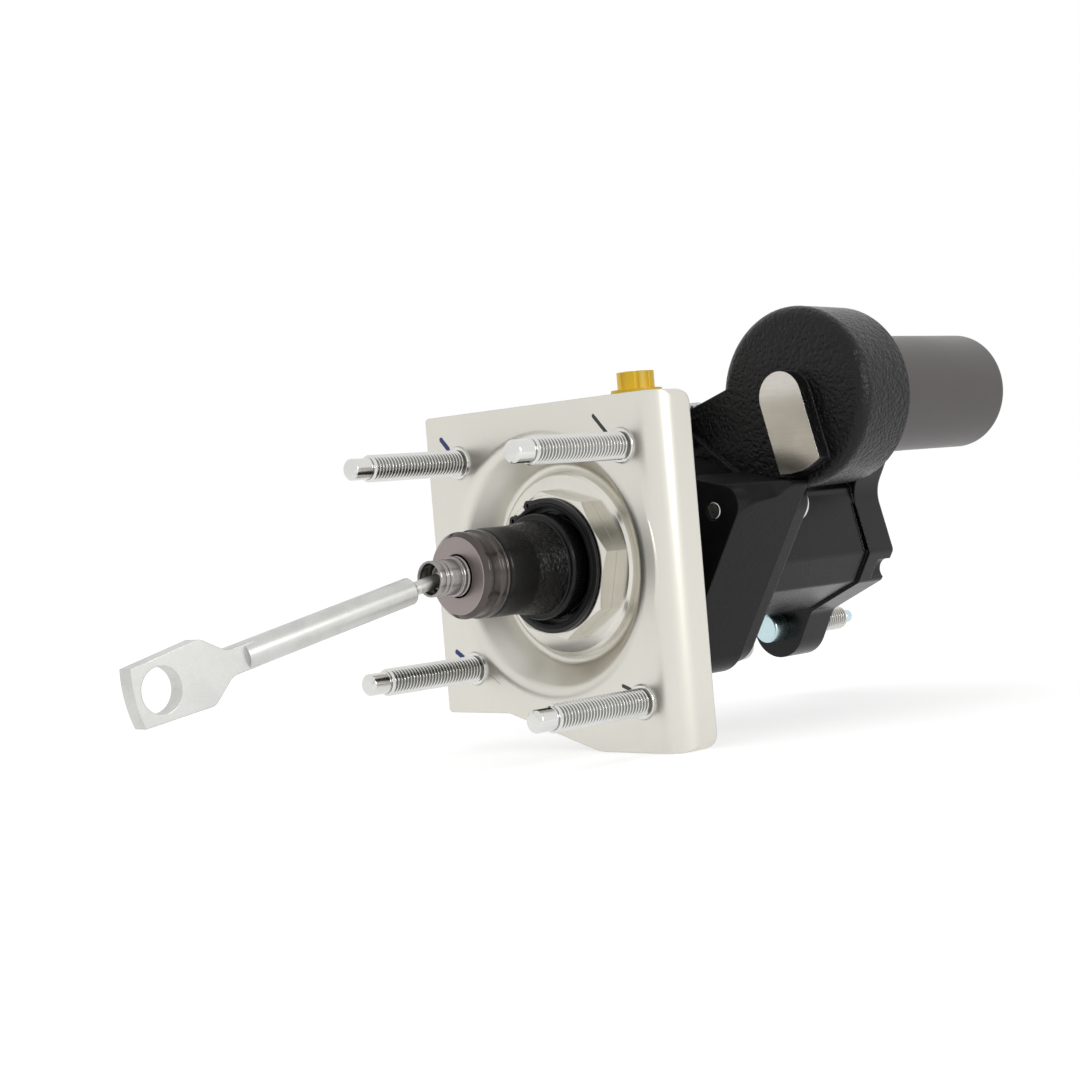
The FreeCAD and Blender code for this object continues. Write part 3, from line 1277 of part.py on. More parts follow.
def passage_plug():
    """Steel ball plug that seals a drilled passage in the spool block."""
    top = PASSAGE_PLUG_TOP
    start = vec(SPOOL_X, PASSAGE_PLUG_Y, top - PASSAGE_PLUG_DEPTH)
    plug = Part.makeCylinder(PASSAGE_PLUG_RADIUS, PASSAGE_PLUG_DEPTH, start)
    rim = [edge for edge in plug.Edges if abs(edge.BoundBox.ZMin - top) < 1e-6 and len(edge.Vertexes) == 1]
    return plug.makeFillet(1.5, rim)


PIECES = {
    "mounting_bracket": mounting_bracket,
    "bracket_studs": bracket_studs,
    "spacer_washer": spacer_washer,
    "neck_nut": neck_nut,
    "rear_cover": rear_cover,
    "cover_gasket": cover_gasket,
    "cover_bolts": cover_bolts,
    "rod_seal": rod_seal,
    "rod_bush": rod_bush,
    "boot_retainer": boot_retainer,
    "neck_ring": neck_ring,
    "boot": boot,
    "end_cup": end_cup,
    "power_piston": power_piston,
    "piston_seal": piston_seal,
    "lever_pin": lever_pin,
    "output_rod": output_rod,
    "return_spring": return_spring,
    "spring_seat": spring_seat,
    "seat_ring": seat_ring,
    "input_plunger": input_plunger,
    "rod_grommet": rod_grommet,
    "push_rod": push_rod,
    "spool_sleeve": spool_sleeve,
    "spool": spool,
    "spool_spring": spool_spring,
    "spool_plug": spool_plug,
    "valve_lever": valve_lever,
    "main_housing": main_housing,
    "accumulator": accumulator,
    "accumulator_ring": accumulator_ring,
    "cylinder_studs": cylinder_studs,
    "port_plugs": port_plugs,
    "return_nipple": return_nipple,
    "return_cap": return_cap,
    "passage_plug": passage_plug,
}

os.makedirs("parts", exist_ok=True)
for name, make in PIECES.items():
    make().exportStep("parts/" + name + ".step")
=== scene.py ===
from math import ceil, cos, hypot, pi, radians, sin

import bmesh
import bpy
from bpy.props import FloatProperty, FloatVectorProperty, IntProperty, PointerProperty
from mathutils import Matrix, Vector


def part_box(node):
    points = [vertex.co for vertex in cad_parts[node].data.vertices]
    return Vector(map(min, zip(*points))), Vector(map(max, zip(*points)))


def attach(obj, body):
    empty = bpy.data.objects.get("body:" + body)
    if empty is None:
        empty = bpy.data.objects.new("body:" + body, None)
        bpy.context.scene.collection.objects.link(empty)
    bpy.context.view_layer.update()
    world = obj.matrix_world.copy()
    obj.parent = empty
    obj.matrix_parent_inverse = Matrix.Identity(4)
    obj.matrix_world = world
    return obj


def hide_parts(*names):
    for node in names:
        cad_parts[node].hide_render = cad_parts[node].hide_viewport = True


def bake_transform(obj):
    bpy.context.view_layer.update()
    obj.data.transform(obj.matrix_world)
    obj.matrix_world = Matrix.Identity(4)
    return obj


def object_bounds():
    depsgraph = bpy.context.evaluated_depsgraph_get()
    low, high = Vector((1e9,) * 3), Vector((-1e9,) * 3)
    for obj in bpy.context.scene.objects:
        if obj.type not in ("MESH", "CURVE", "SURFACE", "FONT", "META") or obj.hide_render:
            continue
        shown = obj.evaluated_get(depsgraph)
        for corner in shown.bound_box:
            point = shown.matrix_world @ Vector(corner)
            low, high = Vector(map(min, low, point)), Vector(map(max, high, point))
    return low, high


bl_info = {
    "name": "Brake booster dressing",
    "version": (1, 0, 0),
    "blender": (4, 5, 0),
    "location": "3D View > Sidebar > Booster",
    "description": "Detailed pieces and finishes for a hydraulic brake booster",
    "category": "Object",
}

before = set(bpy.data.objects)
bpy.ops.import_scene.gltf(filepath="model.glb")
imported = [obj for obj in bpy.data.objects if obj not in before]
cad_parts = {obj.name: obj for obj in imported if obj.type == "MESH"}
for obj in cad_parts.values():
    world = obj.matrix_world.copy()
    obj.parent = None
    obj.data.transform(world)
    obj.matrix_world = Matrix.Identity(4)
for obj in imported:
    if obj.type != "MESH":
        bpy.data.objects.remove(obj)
cad_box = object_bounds()

# Stations and places on the object, in metres
PLATE = 0.0
STUD_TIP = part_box("bracket_studs")[0].y
STUD_PLACES = [(-0.0425, 0.0408), (0.0425, 0.0408), (-0.0425, -0.0374), (0.0425, -0.0494)]
FLANGE_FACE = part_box("main_housing")[1].y
CYLINDER_STUD_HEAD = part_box("cylinder_studs")[0].y
CYLINDER_STUD_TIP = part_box("cylinder_studs")[1].y
CYLINDER_STUD_PLACES = [(0.0205, 0.0375), (-0.0205, -0.0375)]
BOOT_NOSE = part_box("boot")[0].y
BOOT_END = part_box("boot")[1].y
CUP_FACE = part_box("end_cup")[0].y
CUP_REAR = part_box("end_cup")[1].y
TUBE_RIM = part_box("input_plunger")[0].y
PLUNGER_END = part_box("input_plunger")[1].y
SPRING_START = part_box("return_spring")[0].y
SPRING_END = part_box("return_spring")[1].y
SPOOL_SPRING_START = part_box("spool_spring")[0].y
SPOOL_SPRING_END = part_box("spool_spring")[1].y
SPOOL_OFFSET = 0.0385
SPOOL_LEAN = radians(-12)
PAD_FACE = 0.074
PAD_INNER_X = 0.03

# How near two points, or a face and its station, have to be to count as one place
SAME_PLACE = 1e-7
SAME_STATION = 0.0002
SQUARE_ON = 0.99

# Studs: depth of the thread's root and of the core under it, as shares of the pitch
ROOT_DEPTH = 0.6134
CORE_DEPTH = 0.62

# Stage
FLOOR_RADIUS = 6.0
FLOOR_GAP = 0.0002
FLOOR_GLOW = 0.66
LIGHT_ON_OBJECT = 0.5
SUN_DIRECTION = (-0.40, -0.45, 0.80)
SUN_STRENGTH = 1.1
SUN_SPREAD = 70
LAMP_COLOUR = (1.0, 0.985, 0.96)
SENSOR_WIDTH = 36.0
FOCAL_PIXELS = 2069.22
PICTURE_PIXELS = 1080.0
CAMERA_PLACE = (0.53948, -0.52743, 0.02209)
CAMERA_RIGHT = (0.69637, 0.71274, -0.08403)
CAMERA_UP = (0.04691, 0.07162, 0.99632)
CAMERA_BACK = (0.71614, -0.69776, 0.01644)


class BoosterSizes(bpy.types.PropertyGroup):
    stud_pitch: FloatProperty(
        name="Stud pitch", description="Thread pitch of the studs",
        default=0.0015, unit="LENGTH"
    )
    stud_radius: FloatProperty(
        name="Stud radius", description="Outer radius of the studs' threads",
        default=0.005, unit="LENGTH"
    )
    guide_tip: FloatProperty(
        name="Guide tip", description="Length of the plain guide tips of the bracket studs",
        default=0.009, unit="LENGTH"
    )
    spring_wire: FloatProperty(
        name="Return spring wire", description="Wire radius of the return spring",
        default=0.001, unit="LENGTH"
    )
    spring_turns: IntProperty(
        name="Return spring turns", description="Working turns of the return spring",
        default=5, min=2
    )
    lathe_sides: IntProperty(
        name="Turned sides", description="Sides of a turned piece's circle",
        default=96, min=24
    )


class BoosterFinishes(bpy.types.PropertyGroup):
    sheet_colour: FloatVectorProperty(
        name="Bracket", description="Plated bracket sheet",
        default=(0.70, 0.68, 0.62), subtype="COLOR"
    )
    zinc_colour: FloatVectorProperty(
        name="Zinc", description="Bright zinc of studs, nut and washer",
        default=(0.66, 0.66, 0.64), subtype="COLOR"
    )
    casting_colour: FloatVectorProperty(
        name="Castings", description="Black finish of the castings",
        default=(0.007, 0.007, 0.0075), subtype="COLOR"
    )
    can_colour: FloatVectorProperty(
        name="Accumulator", description="Satin paint of the accumulator",
        default=(0.076, 0.069, 0.067), subtype="COLOR"
    )
    rubber_colour: FloatVectorProperty(
        name="Rubber", description="Boot rubber",
        default=(0.006, 0.006, 0.0065), subtype="COLOR"
    )
    plug_colour: FloatVectorProperty(
        name="Shipping plugs", description="Plastic of the shipping plugs",
        default=(0.88, 0.58, 0.02), subtype="COLOR"
    )
    rod_colour: FloatVectorProperty(
        name="Push rod", description="Satin steel of the push rod",
        default=(0.62, 0.62, 0.60), subtype="COLOR"
    )
    cup_colour: FloatVectorProperty(
        name="End cup", description="Dark coating of the end cup",
        default=(0.10, 0.088, 0.084), subtype="COLOR"
    )


# Node helpers


def add(tree, kind, **values):
    node = tree.nodes.new(kind)
    for name, value in values.items():
        setattr(node, name, value)
    return node


def put(tree, socket, value):
    """Link another socket to this one, or set it."""
    if isinstance(value, bpy.types.NodeSocket):
        tree.links.new(value, socket)
    else:
        socket.default_value = value


def maths(tree, operation, first, second=0.0, clamp=False):
    node = add(tree, "ShaderNodeMath", operation=operation, use_clamp=clamp)
    put(tree, node.inputs[0], first)
    put(tree, node.inputs[1], second)
    return node.outputs[0]


def vectors(tree, operation, first, second=(0.0, 0.0, 0.0)):
    node = add(tree, "ShaderNodeVectorMath", operation=operation)
    put(tree, node.inputs[0], first)
    put(tree, node.inputs[1], second)
    return node.outputs["Value"] if operation in ("LENGTH", "DOT_PRODUCT") else node.outputs["Vector"]


def noise(tree, vector, scale, detail=2.0, roughness=0.5):
    node = add(tree, "ShaderNodeTexNoise")
    put(tree, node.inputs["Vector"], vector)
    put(tree, node.inputs["Scale"], scale)
    node.inputs["Detail"].default_value = detail
    node.inputs["Roughness"].default_value = roughness
    return node.outputs[0]


def remap(tree, value, low, high, to_low=0.0, to_high=1.0, smooth=False):
    node = add(tree, "ShaderNodeMapRange", interpolation_type="SMOOTHSTEP" if smooth else "LINEAR")
    put(tree, node.inputs["Value"], value)
    put(tree, node.inputs["From Min"], low)
    put(tree, node.inputs["From Max"], high)
    put(tree, node.inputs["To Min"], to_low)
    put(tree, node.inputs["To Max"], to_high)
    return node.outputs[0]


def mix_colours(tree, share, first, second):
    node = add(tree, "ShaderNodeMix", data_type="RGBA")
    put(tree, node.inputs[0], share)
    put(tree, node.inputs[6], first)
    put(tree, node.inputs[7], second)
    return node.outputs[2]


def mix_values(tree, share, first, second):
    node = add(tree, "ShaderNodeMix", data_type="FLOAT")
    put(tree, node.inputs[0], share)
    put(tree, node.inputs[2], first)
    put(tree, node.inputs[3], second)
    return node.outputs[0]


# Shared effects


def effect(name, sockets, results):
    """Empty node group with its named inputs and outputs."""
    group = bpy.data.node_groups.new(name, "ShaderNodeTree")
    for label, kind, value in sockets:
        socket = group.interface.new_socket(name=label, in_out="INPUT", socket_type=kind)
        if value is not None:
            socket.default_value = value
    for label, kind in results:
        group.interface.new_socket(name=label, in_out="OUTPUT", socket_type=kind)
    start = group.nodes.new("NodeGroupInput")
    end = group.nodes.new("NodeGroupOutput")
    return group, start.outputs, end.inputs


def build_smudges():
    group, given, result = effect(
        "Smudges",
        [("Coordinates", "NodeSocketVector", None), ("Size", "NodeSocketFloat", 60.0)],
        [("Mask", "NodeSocketFloat")],
    )
    cloud = noise(group, given["Coordinates"], given["Size"], 4.0, 0.6)
    put(group, result["Mask"], remap(group, cloud, 0.36, 0.64, smooth=True))


def build_sand_cast():
    group, given, result = effect(
        "Sand cast skin",
        [("Coordinates", "NodeSocketVector", None), ("Grain", "NodeSocketFloat", 1100.0),
         ("Pits", "NodeSocketFloat", 0.4)],
        [("Height", "NodeSocketFloat"), ("Tone", "NodeSocketFloat")],
    )
    sand = noise(group, given["Coordinates"], given["Grain"], 3.0, 0.65)
    lumps = noise(group, given["Coordinates"], maths(group, "MULTIPLY", given["Grain"], 0.22), 2.0, 0.5)
    cells = add(group, "ShaderNodeTexVoronoi", feature="SMOOTH_F1")
    put(group, cells.inputs["Vector"], given["Coordinates"])
    put(group, cells.inputs["Scale"], maths(group, "MULTIPLY", given["Grain"], 0.6))
    pits = maths(group, "MULTIPLY", remap(group, cells.outputs["Distance"], 0.05, 0.5), given["Pits"])
    height = maths(group, "ADD", maths(group, "ADD", sand, pits), maths(group, "MULTIPLY", lumps, 1.2))
    put(group, result["Height"], height)
    put(group, result["Tone"], remap(group, sand, 0.35, 0.7))


def build_turned():
    group, given, result = effect(
        "Turned marks",
        [("Coordinates", "NodeSocketVector", None), ("Centre", "NodeSocketVector", (0.0, 0.0, 0.0)),
         ("Fineness", "NodeSocketFloat", 2600.0)],
        [("Height", "NodeSocketFloat"), ("Tone", "NodeSocketFloat")],
    )
    place = vectors(group, "SUBTRACT", given["Coordinates"], given["Centre"])
    parts = add(group, "ShaderNodeSeparateXYZ")
    put(group, parts.inputs[0], place)
    squares = [maths(group, "MULTIPLY", parts.outputs[axis], parts.outputs[axis]) for axis in (0, 2)]
    across = maths(group, "SQRT", maths(group, "ADD", *squares))
    round_it = maths(group, "ARCTAN2", parts.outputs[0], parts.outputs[2])
    spread = add(group, "ShaderNodeCombineXYZ")
    put(group, spread.inputs[0], maths(group, "MULTIPLY", across, given["Fineness"]))
    put(group, spread.inputs[1], maths(group, "MULTIPLY", parts.outputs[1], given["Fineness"]))
    put(group, spread.inputs[2], maths(group, "MULTIPLY", round_it, 0.7))
    fine = noise(group, spread.outputs[0], 1.0, 3.0, 0.6)
    coarse = noise(group, spread.outputs[0], 0.25, 2.0, 0.5)
    put(group, result["Height"], maths(group, "ADD", fine, coarse))
    put(group, result["Tone"], remap(group, coarse, 0.35, 0.65))


def build_rolled():
    group, given, result = effect(
        "Rolled sheet",
        [("Coordinates", "NodeSocketVector", None), ("Stretch", "NodeSocketVector", (900.0, 900.0, 60.0))],
        [("Height", "NodeSocketFloat"), ("Tone", "NodeSocketFloat")],
    )
    run = vectors(group, "MULTIPLY", given["Coordinates"], given["Stretch"])
    lines = noise(group, run, 1.0, 4.0, 0.6)
    skin = noise(group, given["Coordinates"], 700.0, 2.0, 0.5)
    put(group, result["Height"], maths(group, "ADD", lines, maths(group, "MULTIPLY", skin, 0.8)))
    put(group, result["Tone"], remap(group, lines, 0.3, 0.7))


def build_soft_edge():
    group, given, result = effect(
        "Soft edge",
        [("Radius", "NodeSocketFloat", 0.0003)],
        [("Normal", "NodeSocketVector"), ("Mask", "NodeSocketFloat")],
    )
    rounded = add(group, "ShaderNodeBevel", samples=4)
    put(group, rounded.inputs["Radius"], given["Radius"])
    plain = add(group, "ShaderNodeNewGeometry")
    turn = vectors(group, "DOT_PRODUCT", rounded.outputs[0], plain.outputs["Normal"])
    put(group, result["Normal"], rounded.outputs[0])
    put(group, result["Mask"], remap(group, turn, 0.995, 0.86))


def build_stroke():
    group, given, result = effect(
        "Marker stroke",
        [("Coordinates", "NodeSocketVector", None), ("Start", "NodeSocketVector", (0.0, 0.0, 0.0)),
         ("End", "NodeSocketVector", (0.0, 0.0, 0.0)), ("Width", "NodeSocketFloat", 0.001),
         ("Ragged", "NodeSocketFloat", 0.5)],
        [("Mask", "NodeSocketFloat")],
    )
    run = vectors(group, "SUBTRACT", given["End"], given["Start"])
    place = vectors(group, "SUBTRACT", given["Coordinates"], given["Start"])
    reached = vectors(group, "DOT_PRODUCT", place, run)
    along = maths(group, "DIVIDE", reached, vectors(group, "DOT_PRODUCT", run, run), clamp=True)
    nearest = add(group, "ShaderNodeVectorMath", operation="SCALE")
    put(group, nearest.inputs[0], run)
    put(group, nearest.inputs["Scale"], along)
    away = vectors(group, "LENGTH", vectors(group, "SUBTRACT", place, nearest.outputs[0]))
    share = maths(group, "DIVIDE", away, maths(group, "MULTIPLY", given["Width"], 0.5))
    ragged = noise(group, given["Coordinates"], 1500.0, 3.0, 0.6)
    reach = maths(group, "ADD", share, maths(group, "MULTIPLY", ragged, given["Ragged"]))
    put(group, result["Mask"], remap(group, reach, 1.4, 1.1, smooth=True))


def build_region():
    group, given, result = effect(
        "Region",
        [("Coordinates", "NodeSocketVector", None), ("Low", "NodeSocketVector", (0.0, 0.0, 0.0)),
         ("High", "NodeSocketVector", (0.0, 0.0, 0.0))],
        [("Mask", "NodeSocketFloat")],
    )
    above = vectors(group, "SUBTRACT", given["Coordinates"], given["Low"])
    below = vectors(group, "SUBTRACT", given["High"], given["Coordinates"])
    parts = add(group, "ShaderNodeSeparateXYZ")
    put(group, parts.inputs[0], vectors(group, "MINIMUM", above, below))
    nearest = maths(group, "MINIMUM", parts.outputs[1], parts.outputs[2])
    nearest = maths(group, "MINIMUM", parts.outputs[0], nearest)
    put(group, result["Mask"], maths(group, "GREATER_THAN", nearest, 0.0))


def use(tree, name, **values):
    """Place a shared effect and fill in its inputs."""
    node = add(tree, "ShaderNodeGroup", node_tree=bpy.data.node_groups[name])
    for label, value in values.items():
        put(tree, node.inputs[label.replace("_", " ")], value)
    return node


# Finishes


def surface(name, colour, second, roughness, spread, skin, depth, metallic=1.0, edge=0.0003,
            edge_wear_and_highlight=None, edge_wear_and_highlight_share=0.5, patch=60.0, specular=0.5):
    """Material whose colour, roughness and height vary over the surface, with soft edges that can be painted
    lighter, as edge wear and as a painted edge highlight.
    """
    material = bpy.data.materials.new(name)
    material.use_nodes = True
    tree = material.node_tree
    shader = tree.nodes["Principled BSDF"]
    place = add(tree, "ShaderNodeTexCoord").outputs["Object"]
    effect_name, settings = skin
    grain = use(tree, effect_name, Coordinates=place, **settings)
    smudge = use(tree, "Smudges", Coordinates=place, Size=patch).outputs["Mask"]
    soft = use(tree, "Soft edge", Radius=edge)
    share = maths(tree, "MULTIPLY", maths(tree, "ADD", smudge, grain.outputs["Tone"]), 0.5)
    tone = mix_colours(tree, share, (*colour, 1.0), (*second, 1.0))
    # Lighter edges: partly edge wear, partly a painted highlight along every edge
    if edge_wear_and_highlight:
        patchy = remap(tree, smudge, 0.0, 1.0, edge_wear_and_highlight_share * 0.3, edge_wear_and_highlight_share)
        rubbed_and_highlit = maths(tree, "MULTIPLY", soft.outputs["Mask"], patchy)
        tone = mix_colours(tree, rubbed_and_highlit, tone, (*edge_wear_and_highlight, 1.0))
    put(tree, shader.inputs["Base Color"], tone)
    put(tree, shader.inputs["Roughness"], remap(tree, share, 0.0, 1.0, roughness - spread, roughness + spread))
    shader.inputs["Metallic"].default_value = metallic
    shader.inputs["Specular IOR Level"].default_value = specular
    bump = add(tree, "ShaderNodeBump")
    bump.inputs["Strength"].default_value = 1.0
    bump.inputs["Distance"].default_value = depth
    put(tree, bump.inputs["Height"], grain.outputs["Height"])
    put(tree, bump.inputs["Normal"], soft.outputs["Normal"])
    put(tree, shader.inputs["Normal"], bump.outputs["Normal"])
    return material


def over(material, mask, colour=None, roughness=None, metallic=None):
    """Lay another finish over the part of a material that the mask shows."""
    tree = material.node_tree
    shader = tree.nodes["Principled BSDF"]
    for label, value in (("Base Color", colour), ("Roughness", roughness), ("Metallic", metallic)):
        if value is None:
            continue
        socket = shader.inputs[label]
        below = socket.links[0].from_socket if socket.is_linked else socket.default_value
        if label == "Base Color":
            put(tree, socket, mix_colours(tree, mask, below, (*value, 1.0)))
        else:
            put(tree, socket, mix_values(tree, mask, below, value))


def only_where(material, mask):
    """Keep a material's bumps to the part that the mask shows."""
    tree = material.node_tree
    for node in tree.nodes:
        if node.bl_idname == "ShaderNodeBump":
            socket = node.inputs["Height"]
            put(tree, socket, maths(tree, "MULTIPLY", socket.links[0].from_socket, mask))


def place_in(material):
    """Coordinates that a material already uses."""
    for node in material.node_tree.nodes:
        if node.bl_idname == "ShaderNodeTexCoord":
            return node.outputs["Object"]
    raise RuntimeError("material has no coordinates: " + material.name)


def shade(colour, share):
    """The same colour, darker for a share below 1 and paler above it."""
    return tuple(value * share for value in colour)


SAND = ("Sand cast skin", {"Grain": 1050.0, "Pits": 0.8})
FINE_SAND = ("Sand cast skin", {"Grain": 2200.0, "Pits": 0.15})
TURNED = ("Turned marks", {"Fineness": 2600.0})
ROLLED = ("Rolled sheet", {})
BOOT_SKIN = ("Sand cast skin", {"Grain": 1100.0, "Pits": 0.8})
ROD_SKIN = ("Sand cast skin", {"Grain": 1600.0, "Pits": 0.1})
MILLED = ("Rolled sheet", {"Stretch": (120.0, 900.0, 2600.0)})

# Finishes whose colours aren't in the panel
PLAIN_FINISHES = {
    # Painted shade: a darker zinc on the thread roots and rear flanks, in place of the shade that falls in the
    # grooves
    "Painted groove shade": dict(
        colour=(0.32, 0.32, 0.31), second=(0.24, 0.24, 0.23), roughness=0.32, spread=0.04,
        skin=FINE_SAND, depth=0.000002, edge=0.00015),
    "Tube steel": dict(
        colour=(0.36, 0.34, 0.33), second=(0.28, 0.265, 0.26), roughness=0.24, spread=0.05,
        skin=TURNED, depth=0.000003, edge=0.0002),
    "Blue zinc": dict(
        colour=(0.60, 0.76, 0.79), second=(0.52, 0.68, 0.71), roughness=0.30, spread=0.05,
        skin=FINE_SAND, depth=0.000003, edge=0.0002),
    "Ground steel": dict(
        colour=(0.60, 0.60, 0.60), second=(0.46, 0.46, 0.47), roughness=0.26, spread=0.08,
        skin=TURNED, depth=0.00001),
    "Forged steel": dict(
        colour=(0.33, 0.32, 0.31), second=(0.22, 0.21, 0.20), roughness=0.42, spread=0.10,
        skin=FINE_SAND, depth=0.00004),
    # Lighter edges: edge wear and a painted edge highlight
    "Black oxide": dict(
        colour=(0.028, 0.028, 0.030), second=(0.045, 0.044, 0.043), roughness=0.34, spread=0.08,
        skin=TURNED, depth=0.00001, metallic=0.8, edge_wear_and_highlight=(0.30, 0.29, 0.28), edge_wear_and_highlight_share=0.5),
    "Spring steel": dict(
        colour=(0.36, 0.36, 0.38), second=(0.24, 0.24, 0.25), roughness=0.30, spread=0.08,
        skin=FINE_SAND, depth=0.00001),
    "Sintered bronze": dict(
        colour=(0.60, 0.40, 0.20), second=(0.42, 0.27, 0.13), roughness=0.42, spread=0.08,
        skin=FINE_SAND, depth=0.00003),
    "Seal rubber": dict(
        colour=(0.014, 0.014, 0.014), second=(0.026, 0.026, 0.026), roughness=0.42, spread=0.08,
        skin=FINE_SAND, depth=0.00002, metallic=0.0),
    "Nylon": dict(
        colour=(0.72, 0.70, 0.62), second=(0.62, 0.60, 0.52), roughness=0.40, spread=0.06,
        skin=FINE_SAND, depth=0.00001, metallic=0.0),
    "Black plastic": dict(
        colour=(0.018, 0.018, 0.019), second=(0.03, 0.03, 0.03), roughness=0.45, spread=0.06,
        skin=FINE_SAND, depth=0.00002, metallic=0.0),
}


def finish(name, **settings):
    """A shared finish, made when it is first asked for."""
    return bpy.data.materials.get(name) or surface(name, **settings)


def plain(name):
    return finish(name, **PLAIN_FINISHES[name])


def zinc():
    colour = bpy.context.scene.booster_finishes.zinc_colour
    return finish("Bright zinc", colour=colour, second=shade(colour, 0.86), roughness=0.24, spread=0.07,
                  skin=TURNED, depth=0.000012)


def stud_zinc():
    colour = bpy.context.scene.booster_finishes.zinc_colour
    return finish("Stud zinc", colour=shade(colour, 1.08), second=colour, roughness=0.19, spread=0.02,
                  skin=FINE_SAND, depth=0.000001, edge=0.00015)


def satin_nickel():
    colour = bpy.context.scene.booster_finishes.sheet_colour
    return finish("Satin nickel", colour=colour, second=shade(colour, 0.92), roughness=0.17, spread=0.03,
                  skin=TURNED, depth=0.000002, edge=0.0004)


def yellow_plastic():
    colour = bpy.context.scene.booster_finishes.plug_colour
    return finish("Yellow plastic", colour=colour, second=shade(colour, 0.86), roughness=0.40, spread=0.06,
                  skin=FINE_SAND, depth=0.00002, metallic=0.0, edge=0.0002)


def dress(node, material):
    """Give a CAD node its finish."""
    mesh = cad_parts[node].data
    mesh.materials.clear()
    mesh.materials.append(material)


def dress_faces(node, material, chosen):
    """Give the faces of a CAD node that chosen(centre, normal) picks a finish of their own."""
    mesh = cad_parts[node].data
    mesh.materials.append(material)
    for polygon in mesh.polygons:
        if chosen(polygon.center, polygon.normal):
            polygon.material_index = len(mesh.materials) - 1


# Mesh helpers


def soften(points, radius, steps=3, closed=False):
    """Round the corners of a (station, radius) profile."""
    most = 0.45  # share of a side that one corner may take up
    result = []
    count = len(points)
    for index, point in enumerate(points):
        if not closed and index in (0, count - 1):
            result.append(point)
            continue
        before = points[index - 1]
        after = points[(index + 1) % count]
        back = (before[0] - point[0], before[1] - point[1])
        ahead = (after[0] - point[0], after[1] - point[1])
        back_length = hypot(*back)
        ahead_length = hypot(*ahead)
        reach_back = min(radius, back_length * most)
        reach_ahead = min(radius, ahead_length * most)
        start = tuple(point[axis] + back[axis] / back_length * reach_back for axis in (0, 1))
        end = tuple(point[axis] + ahead[axis] / ahead_length * reach_ahead for axis in (0, 1))
        for step in range(steps + 1):
            t = step / steps
            result.append(tuple(
                (1 - t) ** 2 * start[axis] + 2 * t * (1 - t) * point[axis] + t ** 2 * end[axis]
                for axis in (0, 1)
            ))
    return result


def add_turned(mesh, points, x=0.0, z=0.0, sides=None, closed=False):
    """Surface of revolution about a line along Y, from (station, radius) points."""
    sides = sides or bpy.context.scene.booster_sizes.lathe_sides
    rings = []
    for station, radius in points:
        if radius < SAME_PLACE:
            rings.append([mesh.verts.new((x, station, z))])
            continue
        ring = []
        for side in range(sides):
            angle = 2 * pi * side / sides
            ring.append(mesh.verts.new((x + radius * cos(angle), station, z + radius * sin(angle))))
        rings.append(ring)
    pairs = list(zip(rings, rings[1:]))
    if closed:
        pairs.append((rings[-1], rings[0]))
    for near, far in pairs:
        for side in range(sides):
            following = (side + 1) % sides
            if len(near) == 1 and len(far) == 1:
                continue
            if len(near) == 1:
                mesh.faces.new((near[0], far[side], far[following]))
            elif len(far) == 1:
                mesh.faces.new((near[side], far[0], near[following]))
            else:
                mesh.faces.new((near[side], far[side], far[following], near[following]))


def add_thread(mesh, start, end, radius, pitch, limit, x, z, sides=48):
    """Helical thread between two stations, kept inside the radius that limit(station) gives.

    Its root and rear flank get the second material, a darker finish that paints shade into the groove; the rest
    get the first.
    """
    root = radius - ROOT_DEPTH * pitch
    # One turn: shares of the pitch where the crest ends, the root starts and ends, and the crest starts again
    profile = [(0.07, radius), (0.36, root), (0.62, root), (0.93, radius)]
    steps = int(ceil((end - start) / pitch) + 1) * sides
    rows = []
    for step in range(steps + 1):
        angle = 2 * pi * step / sides
        base = start - pitch + pitch * step / sides
        row = []
        for share, reach in profile:
            station = min(max(base + share * pitch, start), end)
            size = min(reach, limit(station))
            row.append(mesh.verts.new((x + size * cos(angle), station, z + size * sin(angle))))
        rows.append(row)
    for step in range(steps):
        for index in range(3):
            face = mesh.faces.new(
                (rows[step][index], rows[step][index + 1], rows[step + 1][index + 1], rows[step + 1][index]))
            face.material_index = 1 if index < 2 else 0
        if step + sides + 1 <= steps:
            upper = rows[step + sides]
            mesh.faces.new((rows[step][3], upper[0], rows[step + sides + 1][0], rows[step + 1][3]))
    bmesh.ops.remove_doubles(mesh, verts=mesh.verts, dist=SAME_PLACE)


def add_coil(mesh, wire, mean, turns, start, end, x=0.0, z=0.0, sides=14, steps=40):
    """Compression spring with closed and ground ends."""
    closed = 0.8  # turns that lie flat at each end
    ground = 0.55  # share of the wire's radius that grinding leaves under its centre
    slack = 1.04  # room between the closed turns
    ease = 0.035  # how softly the working turns leave the closed ones
    total = turns + 2 * closed
    inner = end - start - 2 * wire * ground
    dead = 2 * wire * closed * slack
    rows = []
    count = int(total * steps)
    for step in range(count + 1):
        turn = total * step / count
        if turn < closed:
            rise = dead * turn / closed
        elif turn > total - closed:
            rise = inner - dead * (total - turn) / closed
        else:
            share = (turn - closed) / turns
            eased = share - ease * sin(2 * pi * share)
            rise = dead + (inner - 2 * dead) * eased
        angle = 2 * pi * turn
        station = start + wire * ground + rise
        row = []
        for side in range(sides):
            around = 2 * pi * side / sides
            reach = mean + wire * cos(around)
            height = min(max(station + wire * sin(around), start), end)
            row.append(mesh.verts.new((x + reach * cos(angle), height, z + reach * sin(angle))))
        rows.append(row)
    for near, far in zip(rows, rows[1:]):
        for side in range(sides):
            following = (side + 1) % sides
            mesh.faces.new((near[side], far[side], far[following], near[following]))
    mesh.faces.new(rows[0])
    mesh.faces.new(list(reversed(rows[-1])))


def link_object(name, data):
    piece = bpy.data.objects.new(name, data)
    bpy.context.scene.collection.objects.link(piece)
    return piece


